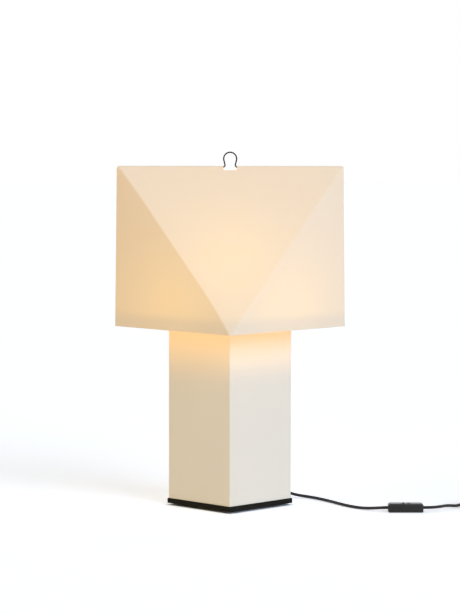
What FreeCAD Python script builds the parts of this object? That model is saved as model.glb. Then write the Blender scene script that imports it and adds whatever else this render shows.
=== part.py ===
import FreeCAD
import Part
import math
import os

# Table lamp: a folded paper shade that rests on a square sheet-metal column.
# Millimetres. +Z is up, the origin is on the floor under the middle of the column,
# and one corner of the column points along -Y, where the lamp is looked at from.

# Base plate and foot pads
plate_thickness = 8.6
plate_overhang = 1.7  # how far the plate stands out past the column, each side
plate_chamfer = 0.5
plate_corner = 1.0
pad_height = 3.0
pad_diameter = 20.0
pad_inset = 29.0  # from the column's outside to a pad's centre

# Column
column_side = 150.0
column_height = 298.6
column_wall = 1.5
column_corner = 1.5
corner_block_side = 20.0
corner_block_height = 14.0
block_margin = 2.0  # metal left above a blind screw hole

# Screws of the base plate and of the holder plate
base_screw_diameter = 5.0
base_screw_head = 9.6
base_screw_head_height = 2.6
base_screw_length = 20.0
plate_screw_diameter = 4.0
plate_screw_head = 8.0
plate_screw_head_height = 2.4
plate_screw_length = 12.0
socket_depth = 1.6
head_rim = 0.4  # straight rim of a countersunk head
overcut = 1.0  # how far a cutter reaches past what it cuts
same_place = 1e-5  # places nearer than this are one
screw_clearance = 0.25  # screw in a through hole, radial
thread_clearance = 0.05  # screw in its tapped hole, radial

# Plate that carries the lampholder, inside the column
holder_plate_depth = 70.2  # from the column's top down to the plate's top
holder_plate_thickness = 2.0
holder_plate_gap = 0.3  # plate to column wall

# Threaded nipple with its nut and washer
nipple_diameter = 10.0
nipple_bore = 7.2
nipple_above = 11.0
nipple_below = 11.0
nut_across_flats = 14.0
nut_height = 4.0
washer_diameter = 22.0
washer_thickness = 1.0

# Lampholder
holder_diameter = 40.0
holder_wall = 2.0
dome_height = 22.0
dome_neck_radius = 8.0
dome_neck_height = 6.0
dome_shoulder = 17.0  # height of the dome where it reaches the full diameter
dome_bevel = 3.0  # height of the sloping edge under the shoulder
dome_inset = 2.0  # how far that edge draws in
dome_floor = 2.0
dome_hub = 1.5  # wall round the nipple, above the neck
ledge_width = 2.5
skirt_height = 30.0
skirt_lip = 3.0  # how far the rim reaches inwards
rim_bevel = 1.0
rim_thickness = 2.0
core_height = 5.0
core_gap = 0.4  # core to the holder's wall
core_step = 1.0  # how far the core stands up into the skirt
core_slot_length = 5.0
core_slot_width = 2.0
core_slot_depth = 1.5
core_slot_inset = 3.0
strip_thickness = 0.6
strip_width = 6.0
strip_rise = 2.0
strip_reach = 8.0

# Bulb
cap_radius = 13.1  # outside of the threaded cap
cap_height = 18.1
cap_wall = 0.4
cap_shoulder = 1.2  # how far the cap draws in at its foot
cap_lip = 1.0  # flat ring that holds the insulator
shell_gap = 0.9  # bulb's cap to the holder's metal thread
bulb_contact_radius = 4.5
bulb_contact_height = 1.7
bulb_contact_edge = 1.0
bulb_insulator_height = 3.0
insulator_rim = 0.6  # insulator beyond the contact
contact_gap = 0.3
housing_height = 29.0
housing_radius = 20.4
housing_straight = 9.0
housing_step = 0.4  # collar beyond the cap
housing_bend_height = 19.0  # where the collar begins to widen quickly
housing_bend_step = 2.0  # how much it has widened there
globe_radius = 30.0
globe_wall = 1.2
globe_rings = 7  # rings of flats between the globe's foot and its top
seat_gap = 0.3  # pieces that seat on each other but move apart

# Shade: folded paper on a bent wire and a wire ring
shade_half_diagonal = 198.9
shade_height = 277.1
ridge_setback = 3.3  # each end of the ridge lies this far inside the corner below it
paper = 0.5
hem_height = 22.0
notch_half_width = 11.7
notch_depth = 8.8
notch_radius_left = 1.0
notch_radius_right = 3.0
wire_diameter = 2.2
wire_gap = 0.3  # wire to paper
ring_lift = 0.4  # ring above the paper's lower edge
ring_bend = 3.0
ridge_bend = 6.0
loop_rise = 26.1  # ridge wire to the top of the loop
loop_radius = 11.1
loop_neck = 8.9
loop_foot_radius = 4.0
wire_sides = 12  # flats round a wire
arm_diameter = 1.8
arm_sides = 8
leg_length = 13.0
leg_bend = 2.2
leg_gap = 0.4  # leg to the inside of the column

# Cord, its gland and the clamp behind it
cord_diameter = 5.2
cord_sides = 8
bend_share = 0.45  # part of the shorter run that an arc of the cord takes
cord_gap = 0.1  # cord in a bore, radial
gland_height = 8.0  # above the base plate
gland_flange = 6.4
gland_flange_thickness = 2.0
boot_length = 20.0
boot_root = 5.9
boot_tip = 3.8
boot_ribs = 3
boot_rib_depth = 0.7
gland_edge = 0.5
gland_stem = 4.9
gland_stem_length = 8.0
gland_hole_gap = 0.1
gland_nut_flats = 13.0
gland_nut_height = 3.0
inner_bend = 45.0
clamp_setback = 18.0  # column wall to the clamp's near face
clamp_length = 10.0
clamp_width = 26.0
clamp_cover = 4.0
clamp_screw_offset = 9.8
clamp_screw_diameter = 3.0
clamp_screw_head = 5.6
clamp_screw_head_height = 1.8
clamp_screw_depth = 6.0

# Switch on the cord
switch_x = 299.2
switch_y = -81.5
switch_length = 60.0
switch_width = 24.0
switch_height = 14.8
switch_corner = 4.0
switch_edge = 2.4
switch_foot_edge = 0.8
switch_wall = 2.0
rocker_radius = 7.8
rocker_width = 9.0
rocker_top = 4.1  # pivot to the middle of the rocker's top
rocker_slope = 0.15
rocker_bottom = 3.0
rocker_tilt = 15.0
rocker_gap = 0.3
pivot_height = 10.6
pivot_diameter = 2.0
pivot_clearance = 0.05
pivot_hold = 0.02
ear_thickness = 1.6
ear_half_length = 3.0
switch_screw_x = 22.0
switch_screw_y = 6.8
switch_screw_diameter = 2.5
switch_screw_head = 4.6
switch_screw_head_height = 1.5
switch_post_radius = 2.7
cord_in_switch = 6.0
terminal_length = 8.0
terminal_width = 7.0
terminal_height = 8.0
terminal_bore = 2.4
terminal_gap = 0.3
screw_end_gap = 2.0  # end of a switch screw to the cover's roof

# Plug on the end of the cord
plug_x = 486.0  # where the strain relief begins
plug_y = 17.0
plug_axis_height = 7.0
plug_length = 38.0
plug_width = 35.4
plug_thickness = 13.7
plug_tail_width = 13.0
plug_face_length = 17.0
plug_flank_bow = 1.6  # how far the flanks are drawn in
plug_edge = 1.4
relief_length = 24.0
relief_root = 5.4
relief_tip = 3.6
relief_ribs = 3
relief_rib_depth = 0.6
pin_spacing = 18.6
pin_diameter = 4.0
pin_length = 19.0
pin_point = 1.0  # bevel at the pin's end
pin_tip_length = 9.0
pin_core_diameter = 3.0
pin_hold = 7.0
sleeve_diameter = 3.8
sleeve_clearance = 0.03

# Put-away coil and its tie
coil_x = 439.1
coil_y = -33.4
coil_inner_radius = 23.5
coil_pitch = 5.75
coil_turns_per_layer = 1.75
coil_layers = 4
coil_start_angle = 137.0  # degrees
coil_lift = 0.9
coil_lead_run = 14.0  # last straight run of the cord before the coil
tie_thickness = 0.6
tie_width = 7.0
tie_gap = 0.25
tie_angle = -100.0
floor_gap = 0.05

# Places that follow from the sizes above
plate_bottom = pad_height
plate_top = plate_bottom + plate_thickness
column_top = plate_top + column_height
wire_radius = wire_diameter / 2
ring_z = column_top + seat_gap + wire_radius
shade_bottom = ring_z - wire_radius - ring_lift
ridge_z = shade_bottom + shade_height
ridge_half_length = shade_half_diagonal - ridge_setback
holder_plate_top = column_top - holder_plate_depth
holder_plate_bottom = holder_plate_top - holder_plate_thickness
skirt_bottom = holder_plate_top + dome_height
core_top = skirt_bottom + core_step
bulb_contact_z = core_top + strip_thickness + strip_rise + contact_gap
cap_bottom = bulb_contact_z + bulb_contact_height + bulb_insulator_height
cap_top = cap_bottom + cap_height
cord_radius = cord_diameter / 2
gland_z = plate_top + gland_height
gland_tip = column_side / 2 + gland_flange_thickness + boot_length
block_centre = column_side / 2 - column_wall - corner_block_side / 2
cord_floor_z = cord_radius + floor_gap
coil_floor_z = cord_radius + coil_lift
coil_outer_radius = coil_inner_radius + coil_pitch * coil_turns_per_layer
switch_seam = switch_height / 2

# Centre line of the cord from the gland to the switch
gland_reach = gland_tip / math.sqrt(2)
near_route = [
    (gland_reach, gland_reach, gland_z),
    (79.5, 79.5, gland_z),
    (93.5, 88.5, 15.2),
    (110.0, 89.0, 7.6),
    (126.0, 83.5, 4.0),
    (139.0, 76.0, 2.8),
    (149.5, 63.0, cord_floor_z),
    (157.6, 45.0, cord_floor_z),
    (167.6, 22.3, cord_floor_z),
    (179.0, 0.5, cord_floor_z),
    (191.0, -22.5, cord_floor_z),
    (205.5, -43.0, cord_floor_z),
    (222.0, -58.5, cord_floor_z),
    (237.0, -71.5, 3.9),
    (252.0, -79.8, 6.1),
    (switch_x - switch_length / 2 - 3.2, switch_y, switch_seam),
    (switch_x - switch_length / 2 + cord_in_switch, switch_y, switch_seam),
]

# Centre line from the switch to the coil; the coil's own lead-in follows it
far_route = [
    (switch_x + switch_length / 2 - cord_in_switch, switch_y, switch_seam),
    (337.5, switch_y, switch_seam),
    (349.5, -79.2, 7.3),
    (359.6, -72.0, 6.9),
    (367.0, -60.5, 6.1),
    (376.0, -48.8, 4.9),
    (388.9, -38.0, 3.7),
]


def vector(x, y, z):
    return FreeCAD.Vector(x, y, z)


def block(length, width, height, x=0.0, y=0.0, z=0.0):
    """Box whose foot is centred on x, y and stands at z."""
    return Part.makeBox(length, width, height, vector(x - length / 2, y - width / 2, z))


def rod(diameter, length, x=0.0, y=0.0, z=0.0):
    """Upright cylinder."""
    return Part.makeCylinder(diameter / 2, length, vector(x, y, z))


def hexagon(across_flats, height, x=0.0, y=0.0, z=0.0):
    """Upright hexagonal prism with flats across Y."""
    reach = across_flats / math.sqrt(3)
    corners = []
    for index in range(7):
        angle = math.radians(60 * index)
        corners.append(vector(x + reach * math.cos(angle), y + reach * math.sin(angle), z))
    return Part.Face(Part.makePolygon(corners)).extrude(vector(0, 0, height))


def revolved(outline):
    """Solid of revolution about Z from closed (radius, z) corners."""
    corners = [vector(radius, 0, z) for radius, z in outline]
    corners.append(corners[0])
    face = Part.Face(Part.makePolygon(corners))
    return face.revolve(vector(0, 0, 0), vector(0, 0, 1), 360)


def group(solids):
    return Part.makeCompound(solids)


def at_corners(centre):
    """The four corners of a square round the origin."""
    return [(sx * centre, sy * centre) for sx in (-1, 1) for sy in (-1, 1)]


def corner_to_front(shape):
    """Turn from the column's own axes to the lamp's, with a corner along -Y."""
    shape.rotate(vector(0, 0, 0), vector(0, 0, 1), 45)
    return shape


def axis_to_x(shape, x, y, z):
    """Lay an upright turned piece along +X from the point x, y, z."""
    shape.rotate(vector(0, 0, 0), vector(0, 1, 0), 90)
    shape.translate(vector(x, y, z))
    return shape


def upright_edges(shape):
    """Straight edges that run along Z."""
    found = []
    for edge in shape.Edges:
        low, high = edge.Vertexes[0].Point, edge.Vertexes[-1].Point
        if math.hypot(low.x - high.x, low.y - high.y) < 1e-6:
            if abs(low.z - high.z) > 1e-3:
                found.append(edge)
    return found


def edges_at_height(shape, z):
    """Edges that lie wholly at one height."""
    found = []
    for edge in shape.Edges:
        bounds = edge.BoundBox
        if abs(bounds.ZMin - z) < 1e-5 and abs(bounds.ZMax - z) < 1e-5:
            found.append(edge)
    return found


def countersunk_screw(diameter, head, head_height, length, socket):
    """Screw with its head's flat face at z = 0 and its shank upwards."""
    outline = [
        (0, 0),
        (head / 2, 0),
        (head / 2, head_rim),
        (diameter / 2, head_height),
        (diameter / 2, length),
        (0, length),
    ]
    return revolved(outline).cut(hexagon(socket, socket_depth))


def countersunk_hole(diameter, head, head_height, depth):
    """Cutter for such a screw, from below z = 0 upwards past the depth."""
    hole = diameter / 2 + screw_clearance
    sink = head / 2 + screw_clearance
    outline = [
        (0, -overcut),
        (sink, -overcut),
        (sink, head_rim),
        (hole, head_height),
        (hole, depth + overcut),
        (0, depth + overcut),
    ]
    return revolved(outline)


def pan_screw(diameter, head, head_height, length, socket):
    """Screw with its head above z = 0 and its shank downwards."""
    screw = rod(diameter, length, 0, 0, -length).fuse(rod(head, head_height))
    return screw.cut(hexagon(socket, socket_depth, 0, 0, head_height - socket_depth))


def placed(shape, x, y, z):
    moved = shape.copy()
    moved.translate(vector(x, y, z))
    return moved


# Base and column


def base_plate():
    side = column_side + 2 * plate_overhang
    plate = block(side, side, plate_thickness, 0, 0, plate_bottom)
    plate = plate.makeFillet(plate_corner, upright_edges(plate))
    rims = edges_at_height(plate, plate_bottom) + edges_at_height(plate, plate_top)
    plate = plate.makeChamfer(plate_chamfer, rims)
    cutter = countersunk_hole(
        base_screw_diameter, base_screw_head, base_screw_head_height, plate_thickness
    )
    for x, y in at_corners(block_centre):
        plate = plate.cut(placed(cutter, x, y, plate_bottom))
    for sign in (-1, 1):
        hole = rod(
            clamp_screw_diameter + 2 * thread_clearance,
            clamp_screw_depth,
            clamp_x(),
            sign * clamp_screw_offset,
            plate_top - clamp_screw_depth,
        )
        plate = plate.cut(hole)
    return corner_to_front(plate)


def foot_pads():
    centre = column_side / 2 - pad_inset
    pads = [rod(pad_diameter, pad_height, x, y) for x, y in at_corners(centre)]
    return corner_to_front(group(pads))


def base_screws():
    screw = countersunk_screw(
        base_screw_diameter, base_screw_head, base_screw_head_height, base_screw_length, 3.0
    )
    return corner_to_front(
        group([placed(screw, x, y, plate_bottom) for x, y in at_corners(block_centre)])
    )


def tapped_block(height, bore, depth, from_top):
    """Square block welded into a corner of the column, with a blind tapped hole."""
    post = block(corner_block_side, corner_block_side, height)
    hole_z = height - depth if from_top else 0
    return post.cut(rod(bore, depth, 0, 0, hole_z))


def corner_blocks():
    depth = base_screw_length - plate_thickness + block_margin / 2
    height = max(corner_block_height, depth + block_margin)
    post = tapped_block(height, base_screw_diameter + 2 * thread_clearance, depth, False)
    return corner_to_front(
        group([placed(post, x, y, plate_top) for x, y in at_corners(block_centre)])
    )


def holder_plate_blocks():
    depth = plate_screw_length - holder_plate_thickness + block_margin / 2
    height = max(corner_block_height, depth + block_margin)
    post = tapped_block(height, plate_screw_diameter + 2 * thread_clearance, depth, True)
    z = holder_plate_bottom - height
    return corner_to_front(
        group([placed(post, x, y, z) for x, y in at_corners(block_centre)])
    )


def column_sleeve():
    outside = block(column_side, column_side, column_height, 0, 0, plate_top)
    outside = outside.makeFillet(column_corner, upright_edges(outside))
    clear = column_side - 2 * column_wall
    inside = block(clear, clear, column_height + 2 * overcut, 0, 0, plate_top - overcut)
    sleeve = outside.cut(inside)
    hole = Part.makeCylinder(
        gland_stem + gland_hole_gap,
        column_wall + 2 * overcut,
        vector(column_side / 2 - column_wall - overcut, 0, gland_z),
        vector(1, 0, 0),
    )
    return corner_to_front(sleeve.cut(hole))


def holder_plate():
    side = column_side - 2 * column_wall - 2 * holder_plate_gap
    plate = block(side, side, holder_plate_thickness, 0, 0, holder_plate_bottom)
    low = holder_plate_bottom - overcut
    deep = holder_plate_thickness + 2 * overcut
    plate = plate.cut(rod(nipple_diameter + 2 * screw_clearance, deep, 0, 0, low))
    for x, y in at_corners(block_centre):
        plate = plate.cut(rod(plate_screw_diameter + 2 * screw_clearance, deep, x, y, low))
    return corner_to_front(plate)


def holder_plate_screws():
    screw = pan_screw(
        plate_screw_diameter, plate_screw_head, plate_screw_head_height, plate_screw_length, 2.5
    )
    return corner_to_front(
        group([placed(screw, x, y, holder_plate_top) for x, y in at_corners(block_centre)])
    )


# Lampholder


def nipple():
    bottom = holder_plate_bottom - nipple_below
    length = nipple_below + holder_plate_thickness + nipple_above
    return rod(nipple_diameter, length, 0, 0, bottom).cut(
        rod(nipple_bore, length, 0, 0, bottom)
    )


def nipple_washer():
    z = holder_plate_bottom - washer_thickness
    disc = rod(washer_diameter, washer_thickness, 0, 0, z)
    return disc.cut(rod(nipple_diameter + 2 * screw_clearance, washer_thickness, 0, 0, z))


def nipple_nut():
    z = holder_plate_bottom - washer_thickness - nut_height
    nut = hexagon(nut_across_flats, nut_height, 0, 0, z)
    return nut.cut(rod(nipple_diameter + 2 * thread_clearance, nut_height, 0, 0, z))


def holder_dome():
    """Lower half of the lampholder: a neck on the nipple that opens to a cup."""
    z = holder_plate_top
    outer = holder_diameter / 2
    inner = outer - holder_wall
    bore = nipple_diameter / 2 + thread_clearance
    ledge = core_top - core_height
    hub_top = z + dome_neck_height + dome_floor
    outline = [
        (bore, z),
        (dome_neck_radius, z),
        (dome_neck_radius, z + dome_neck_height),
        (outer - dome_inset, z + dome_shoulder - dome_bevel),
        (outer, z + dome_shoulder),
        (outer, skirt_bottom),
        (inner, skirt_bottom),
        (inner, ledge),
        (inner - ledge_width, ledge),
        (bore + dome_hub, hub_top),
        (bore, hub_top),
    ]
    return revolved(outline)


def holder_skirt():
    """Upper half of the lampholder, with a rim turned in at its top."""
    outer = holder_diameter / 2
    inner = outer - holder_wall
    top = skirt_bottom + skirt_height
    outline = [
        (inner, skirt_bottom),
        (outer, skirt_bottom),
        (outer, top - rim_bevel),
        (outer - rim_bevel, top),
        (inner - skirt_lip, top),
        (inner - skirt_lip, top - rim_thickness),
        (inner, top - rim_thickness - rim_bevel),
    ]
    return revolved(outline)


def holder_core():
    """Insulating disc that carries the contacts, on the dome's ledge."""
    radius = holder_diameter / 2 - holder_wall - core_gap
    disc = rod(2 * radius, core_height, 0, 0, core_top - core_height)
    low = core_top - core_slot_depth
    for sign in (-1, 1):
        x = sign * (radius - core_slot_inset)
        disc = disc.cut(block(core_slot_width, core_slot_length, core_slot_depth, x, 0, low))
    return disc


def holder_thread():
    """Metal sleeve that the bulb screws into, standing on the core."""
    inner = cap_radius + shell_gap
    height = cap_top - core_top
    sleeve = rod(2 * (inner + cap_wall), height, 0, 0, core_top)
    return sleeve.cut(rod(2 * inner, height, 0, 0, core_top))


def holder_contact():
    """Bent strip under the bulb's tip, standing on the core."""
    reach = strip_reach
    rise = strip_rise
    low = core_top
    thick = strip_thickness
    outline = [
        (-reach, low),
        (-reach, low + thick),
        (-reach / 2, low + thick),
        (-thick, low + rise + thick),
        (reach / 2, low + rise + thick),
        (reach / 2, low + rise),
        (0, low + rise),
        (-reach / 2 + thick, low),
    ]
    corners = [vector(x, -strip_width / 2, z) for x, z in outline]
    corners.append(corners[0])
    return Part.Face(Part.makePolygon(corners)).extrude(vector(0, strip_width, 0))


# Bulb


def bulb_cap():
    """Metal cap of the bulb, drawn in at its foot round the insulator."""
    foot_radius = cap_radius - cap_shoulder
    shoulder_z = cap_bottom + cap_shoulder
    outline = [
        (foot_radius - cap_lip, cap_bottom),
        (foot_radius, cap_bottom),
        (cap_radius, shoulder_z),
        (cap_radius, cap_top),
        (cap_radius - cap_wall, cap_top),
        (cap_radius - cap_wall, shoulder_z),
        (foot_radius - cap_lip, cap_bottom + cap_wall),
    ]
    return revolved(outline)


def bulb_insulator():
    """Dark insulating foot between the cap and its tip contact."""
    outline = [
        (0, cap_bottom - bulb_insulator_height),
        (bulb_contact_radius + insulator_rim, cap_bottom - bulb_insulator_height),
        (cap_radius - cap_shoulder, cap_bottom),
        (0, cap_bottom),
    ]
    return revolved(outline)


def bulb_tip():
    """Solder contact at the foot of the bulb."""
    top = bulb_contact_z + bulb_contact_height
    outline = [
        (0, bulb_contact_z),
        (bulb_contact_radius - bulb_contact_edge, bulb_contact_z),
        (bulb_contact_radius, bulb_contact_z + bulb_contact_edge),
        (bulb_contact_radius, top),
        (0, top),
    ]
    return revolved(outline)


def bulb_housing():
    """White collar that flares from the cap to the globe."""
    top = cap_top + housing_height
    neck = cap_radius + housing_step
    outline = [
        (0, cap_top),
        (neck, cap_top),
        (neck, cap_top + housing_straight),
        (neck + housing_bend_step, cap_top + housing_bend_height),
        (housing_radius, top),
        (0, top),
    ]
    return revolved(outline)


def globe_arc(radius, centre, foot):
    """Radius and height along a circle, from the foot's height to the top."""
    start = math.acos((foot - centre) / radius)
    points = []
    for index in range(globe_rings + 1):
        angle = start * (1 - index / globe_rings)
        points.append((radius * math.sin(angle), centre + radius * math.cos(angle)))
    return points


def bulb_globe():
    """Frosted globe, a thin shell that sits on the collar."""
    foot = cap_top + housing_height
    centre = foot + math.sqrt(globe_radius**2 - housing_radius**2)
    outside = globe_arc(globe_radius, centre, foot)
    inside = globe_arc(globe_radius - globe_wall, centre, foot)
    return revolved(outside + inside[::-1])


# Shade


def shade_corners():
    """Ridge ends and the lower square's corners, on the outside of the paper."""
    left_end = vector(-ridge_half_length, 0, ridge_z)
    right_end = vector(ridge_half_length, 0, ridge_z)
    left = vector(-shade_half_diagonal, 0, shade_bottom)
    right = vector(shade_half_diagonal, 0, shade_bottom)
    front = vector(0, -shade_half_diagonal, shade_bottom)
    back = vector(0, shade_half_diagonal, shade_bottom)
    return left_end, right_end, left, right, front, back


def shade_facets():
    """The six folded facets, each as three corners and its outward normal."""
    left_end, right_end, left, right, front, back = shade_corners()
    triples = [
        (left_end, right_end, front),
        (left_end, right_end, back),
        (right_end, right, front),
        (right_end, right, back),
        (left_end, left, front),
        (left_end, left, back),
    ]
    inside = vector(0, 0, shade_bottom + shade_height / 4)
    facets = []
    for first, second, third in triples:
        normal = (second - first).cross(third - first)
        normal.normalize()
        if normal.dot(inside - first) > 0:
            normal = normal * -1
        facets.append((first, normal))
    return facets


def tent(inset, bottom):
    """Closed wedge inside the facets, each moved in by inset, cut off at bottom."""
    size = 3 * shade_half_diagonal
    body = block(size, size, ridge_z + overcut - bottom, 0, 0, bottom)
    for point, normal in shade_facets():
        slab = block(2 * size, 2 * size, size)
        turn = FreeCAD.Rotation(vector(0, 0, 1), normal)
        slab.Placement = FreeCAD.Placement(point - normal * inset, turn)
        body = body.cut(slab)
    return body


def notch():
    """Opening through the fold of the ridge, where the loop stands up."""
    low = ridge_z - notch_depth
    high = ridge_z + overcut
    reach = shade_half_diagonal
    cutter = block(2 * notch_half_width, 2 * reach, high - low, 0, 0, low)
    lower = []
    for edge in edges_at_height(cutter, low):
        bounds = edge.BoundBox
        if bounds.XMax - bounds.XMin < 1e-6:
            lower.append((bounds.XMin, edge))
    lower.sort(key=lambda pair: pair[0])
    cutter = cutter.makeFillet(notch_radius_left, [lower[0][1]])
    right = []
    for edge in edges_at_height(cutter, low):
        bounds = edge.BoundBox
        if abs(bounds.XMin - notch_half_width) < 1e-6:
            right.append(edge)
    return cutter.makeFillet(notch_radius_right, right)


def shade_paper():
    """Six facets of one folded sheet, doubled where the hem is turned in."""
    hem_top = shade_bottom + hem_height
    shell = tent(0, shade_bottom)
    shell = shell.cut(tent(2 * paper, shade_bottom - overcut))
    shell = shell.cut(tent(paper, hem_top))
    return shell.cut(notch())


def fold_half_angle():
    """Half of the angle between the front and back facets at the ridge."""
    return math.atan2(shade_half_diagonal, shade_height)


def ridge_wire_z():
    """Height of the wire that nests in the ridge's fold."""
    reach = (paper + wire_gap + wire_radius) / math.sin(fold_half_angle())
    return ridge_z - reach


def side_wire_x(z):
    """Distance of the side wire from the middle, inside the paper's side fold."""
    share = (z - shade_bottom) / shade_height
    edge = shade_half_diagonal + (ridge_half_length - shade_half_diagonal) * share
    return edge - math.sqrt(2) * (2 * paper + wire_gap + wire_radius)


def arc_on_circle(centre, radius, start, end):
    """Arc in the XZ plane between two angles in degrees."""
    points = []
    for angle in (start, (start + end) / 2, end):
        turn = math.radians(angle)
        x = centre[0] + radius * math.cos(turn)
        z = centre[1] + radius * math.sin(turn)
        points.append(vector(x, 0, z))
    return points


def half_wire_pieces():
    """Right half of the bent wire, from the loop's top to the ring, as arcs and lines."""
    wire_z = ridge_wire_z()
    loop_centre = (0, wire_z + loop_rise - loop_radius)
    foot_x = loop_neck + loop_foot_radius
    foot_centre = (foot_x, wire_z + loop_foot_radius)
    apart_x = foot_centre[0] - loop_centre[0]
    apart_z = foot_centre[1] - loop_centre[1]
    apart = math.hypot(apart_x, apart_z)
    lean = math.acos((loop_radius + loop_foot_radius) / apart)
    touch = math.degrees(math.atan2(apart_z, apart_x) + lean)
    loop_arc = arc_on_circle(loop_centre, loop_radius, 90, touch)
    foot_arc = arc_on_circle(foot_centre, loop_foot_radius, touch + 180, 270)
    end_z = ring_z + wire_radius + seat_gap
    corner = vector(side_wire_x(wire_z), 0, wire_z)
    end = vector(side_wire_x(end_z), 0, end_z)
    down = end - corner
    down.normalize()
    half_turn = (math.pi - math.acos(-down.x)) / 2
    cut_back = ridge_bend * math.tan(half_turn)
    bend_start = corner - vector(cut_back, 0, 0)
    bend_end = corner + down * cut_back
    inward = down - vector(1, 0, 0)
    inward.normalize()
    depth = ridge_bend / math.cos(half_turn) - ridge_bend
    bend_arc = [bend_start, corner + inward * depth, bend_end]
    return [
        loop_arc,
        [loop_arc[-1], foot_arc[0]],
        foot_arc,
        [foot_arc[-1], bend_start],
        bend_arc,
        [bend_end, end],
    ]


def section(start, along, diameter, sides, across):
    """Polygon square to along, with a corner towards across."""
    second = along.cross(across)
    second.normalize()
    corners = []
    for index in range(sides + 1):
        turn = 2 * math.pi * index / sides
        step = across * math.cos(turn) + second * math.sin(turn)
        corners.append(start + step * (diameter / 2))
    return Part.Face(Part.makePolygon(corners))


def bent_rod(pieces, diameter, across, sides):
    """Rod bent in the plane square to across, from the point lists of its runs and arcs."""
    solids = []
    for points in pieces:
        if len(points) == 2:
            along = points[1] - points[0]
            solids.append(section(points[0], along, diameter, sides, across).extrude(along))
            continue
        bend = Part.Arc(points[0], points[1], points[2]).toShape()
        centre = bend.Curve.Center
        along = bend.tangentAt(bend.FirstParameter)
        if not bend.valueAt(bend.FirstParameter).isEqual(points[0], same_place):
            along = bend.tangentAt(bend.LastParameter) * -1
        axis = (points[0] - centre).cross(along)
        turn = math.degrees(bend.Length / bend.Curve.Radius)
        solids.append(section(points[0], along, diameter, sides, across).revolve(centre, axis, turn))
    return solids[0].multiFuse(solids[1:]).removeSplitter()


def loop_wire():
    """One bent wire: up the left fold, along the ridge with its loop, down the right."""
    right = half_wire_pieces()
    left = []
    for points in reversed(right):
        left.append([vector(-point.x, 0, point.z) for point in reversed(points)])
    # the two halves meet at the loop's top, in one arc
    top = [left[-1][0], left[-1][-1], right[0][-1]]
    pieces = left[:-1] + [top] + right[1:]
    return bent_rod(pieces, wire_diameter, vector(0, 1, 0), wire_sides)


def ring_reach():
    """Half diagonal of the ring's centre line, before its corners are bent."""
    return shade_half_diagonal - math.sqrt(2) * (2 * paper + wire_gap + wire_radius)


def rounded_square(half_diagonal, bend, z):
    """Closed path of a square on its corner, from the middle of one side."""
    half = half_diagonal / math.sqrt(2)
    dip = bend * (1 - math.sqrt(0.5))
    pieces = []
    for index in range(4):
        turn = math.radians(90 * index)
        cosine, sine = math.cos(turn), math.sin(turn)
        run = [
            (half, 0),
            (half, half - bend),
            (half - dip, half - dip),
            (half - bend, half),
            (0, half),
        ]
        points = [vector(x * cosine - y * sine, x * sine + y * cosine, z) for x, y in run]
        pieces.append([points[0], points[1]])
        pieces.append([points[1], points[2], points[3]])
        pieces.append([points[3], points[4]])
    return pieces


def ring_frame():
    """Square ring with four welded arms, whose bent legs drop inside the column."""
    up = vector(0, 0, 1)
    ring = rounded_square(ring_reach(), ring_bend, ring_z)
    frame = corner_to_front(bent_rod(ring, wire_diameter, up, arm_sides))
    start_x = ring_reach() - ring_bend * (math.sqrt(2) - 1)
    column_inside = (column_side / 2 - column_wall) * math.sqrt(2)
    leg_x = column_inside - math.sqrt(2) * (leg_gap + wire_radius)
    dip = leg_bend * (1 - math.sqrt(0.5))
    arm_pieces = [
        [vector(start_x, 0, ring_z), vector(leg_x + leg_bend, 0, ring_z)],
        [
            vector(leg_x + leg_bend, 0, ring_z),
            vector(leg_x + dip, 0, ring_z - dip),
            vector(leg_x, 0, ring_z - leg_bend),
        ],
        [vector(leg_x, 0, ring_z - leg_bend), vector(leg_x, 0, ring_z - leg_length)],
    ]
    arm = bent_rod(arm_pieces, arm_diameter, vector(0, 1, 0), arm_sides)
    for index in range(4):
        turned = arm.copy()
        turned.rotate(vector(0, 0, 0), up, 90 * index)
        frame = frame.fuse(turned)
    return frame


# Cord


def route_edges(points, name):
    """Straight runs joined by arcs as large as the runs allow; prints the tightest."""
    corners = [vector(*point) for point in points]
    edges = []
    start = corners[0]
    tightest = None
    for before, here, after in zip(corners, corners[1:], corners[2:]):
        into = here - before
        out = after - here
        room = bend_share * min(into.Length, out.Length)
        into.normalize()
        out.normalize()
        half_turn = into.getAngle(out) / 2
        radius = room / math.tan(half_turn)
        bend_start = here - into * room
        bend_end = here + out * room
        inward = out - into
        inward.normalize()
        middle = here + inward * (radius / math.cos(half_turn) - radius)
        edges.append(Part.LineSegment(start, bend_start).toShape())
        edges.append(Part.Arc(bend_start, middle, bend_end).toShape())
        start = bend_end
        tightest = radius if tightest is None else min(tightest, radius)
    edges.append(Part.LineSegment(start, corners[-1]).toShape())
    print(f"{name}: tightest radius {tightest:.1f} mm")
    return edges


def cord_tube(edges, name):
    """Solid of a cord stretch; prints its length and checks its volume."""
    path = Part.Wire(edges)
    start = edges[0].Vertexes[0].Point
    along = edges[0].Vertexes[-1].Point - start
    across = along.cross(vector(0, 0, 1))
    across.normalize()
    end_face = section(start, along, cord_diameter, cord_sides, across)
    tube = path.makePipeShell([end_face.OuterWire], True, False)
    share = tube.Volume / (end_face.Area * path.Length)
    print(f"{name}: length {path.Length:.1f} mm, volume {share:.4f} of section times length")
    return tube


def cord_to_switch():
    return cord_tube(route_edges(near_route, "cord_to_switch"), "cord_to_switch")


def far_route_with_lead():
    """The route to the coil ends where the coil's straight lead-in starts."""
    start, along = coil_end(True)
    lead = start - along * cord_diameter
    before = lead - along * coil_lead_run
    return far_route + [(before.x, before.y, before.z), (lead.x, lead.y, lead.z)]


def cord_from_switch():
    points = far_route_with_lead()
    return cord_tube(route_edges(points, "cord_from_switch"), "cord_from_switch")


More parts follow.
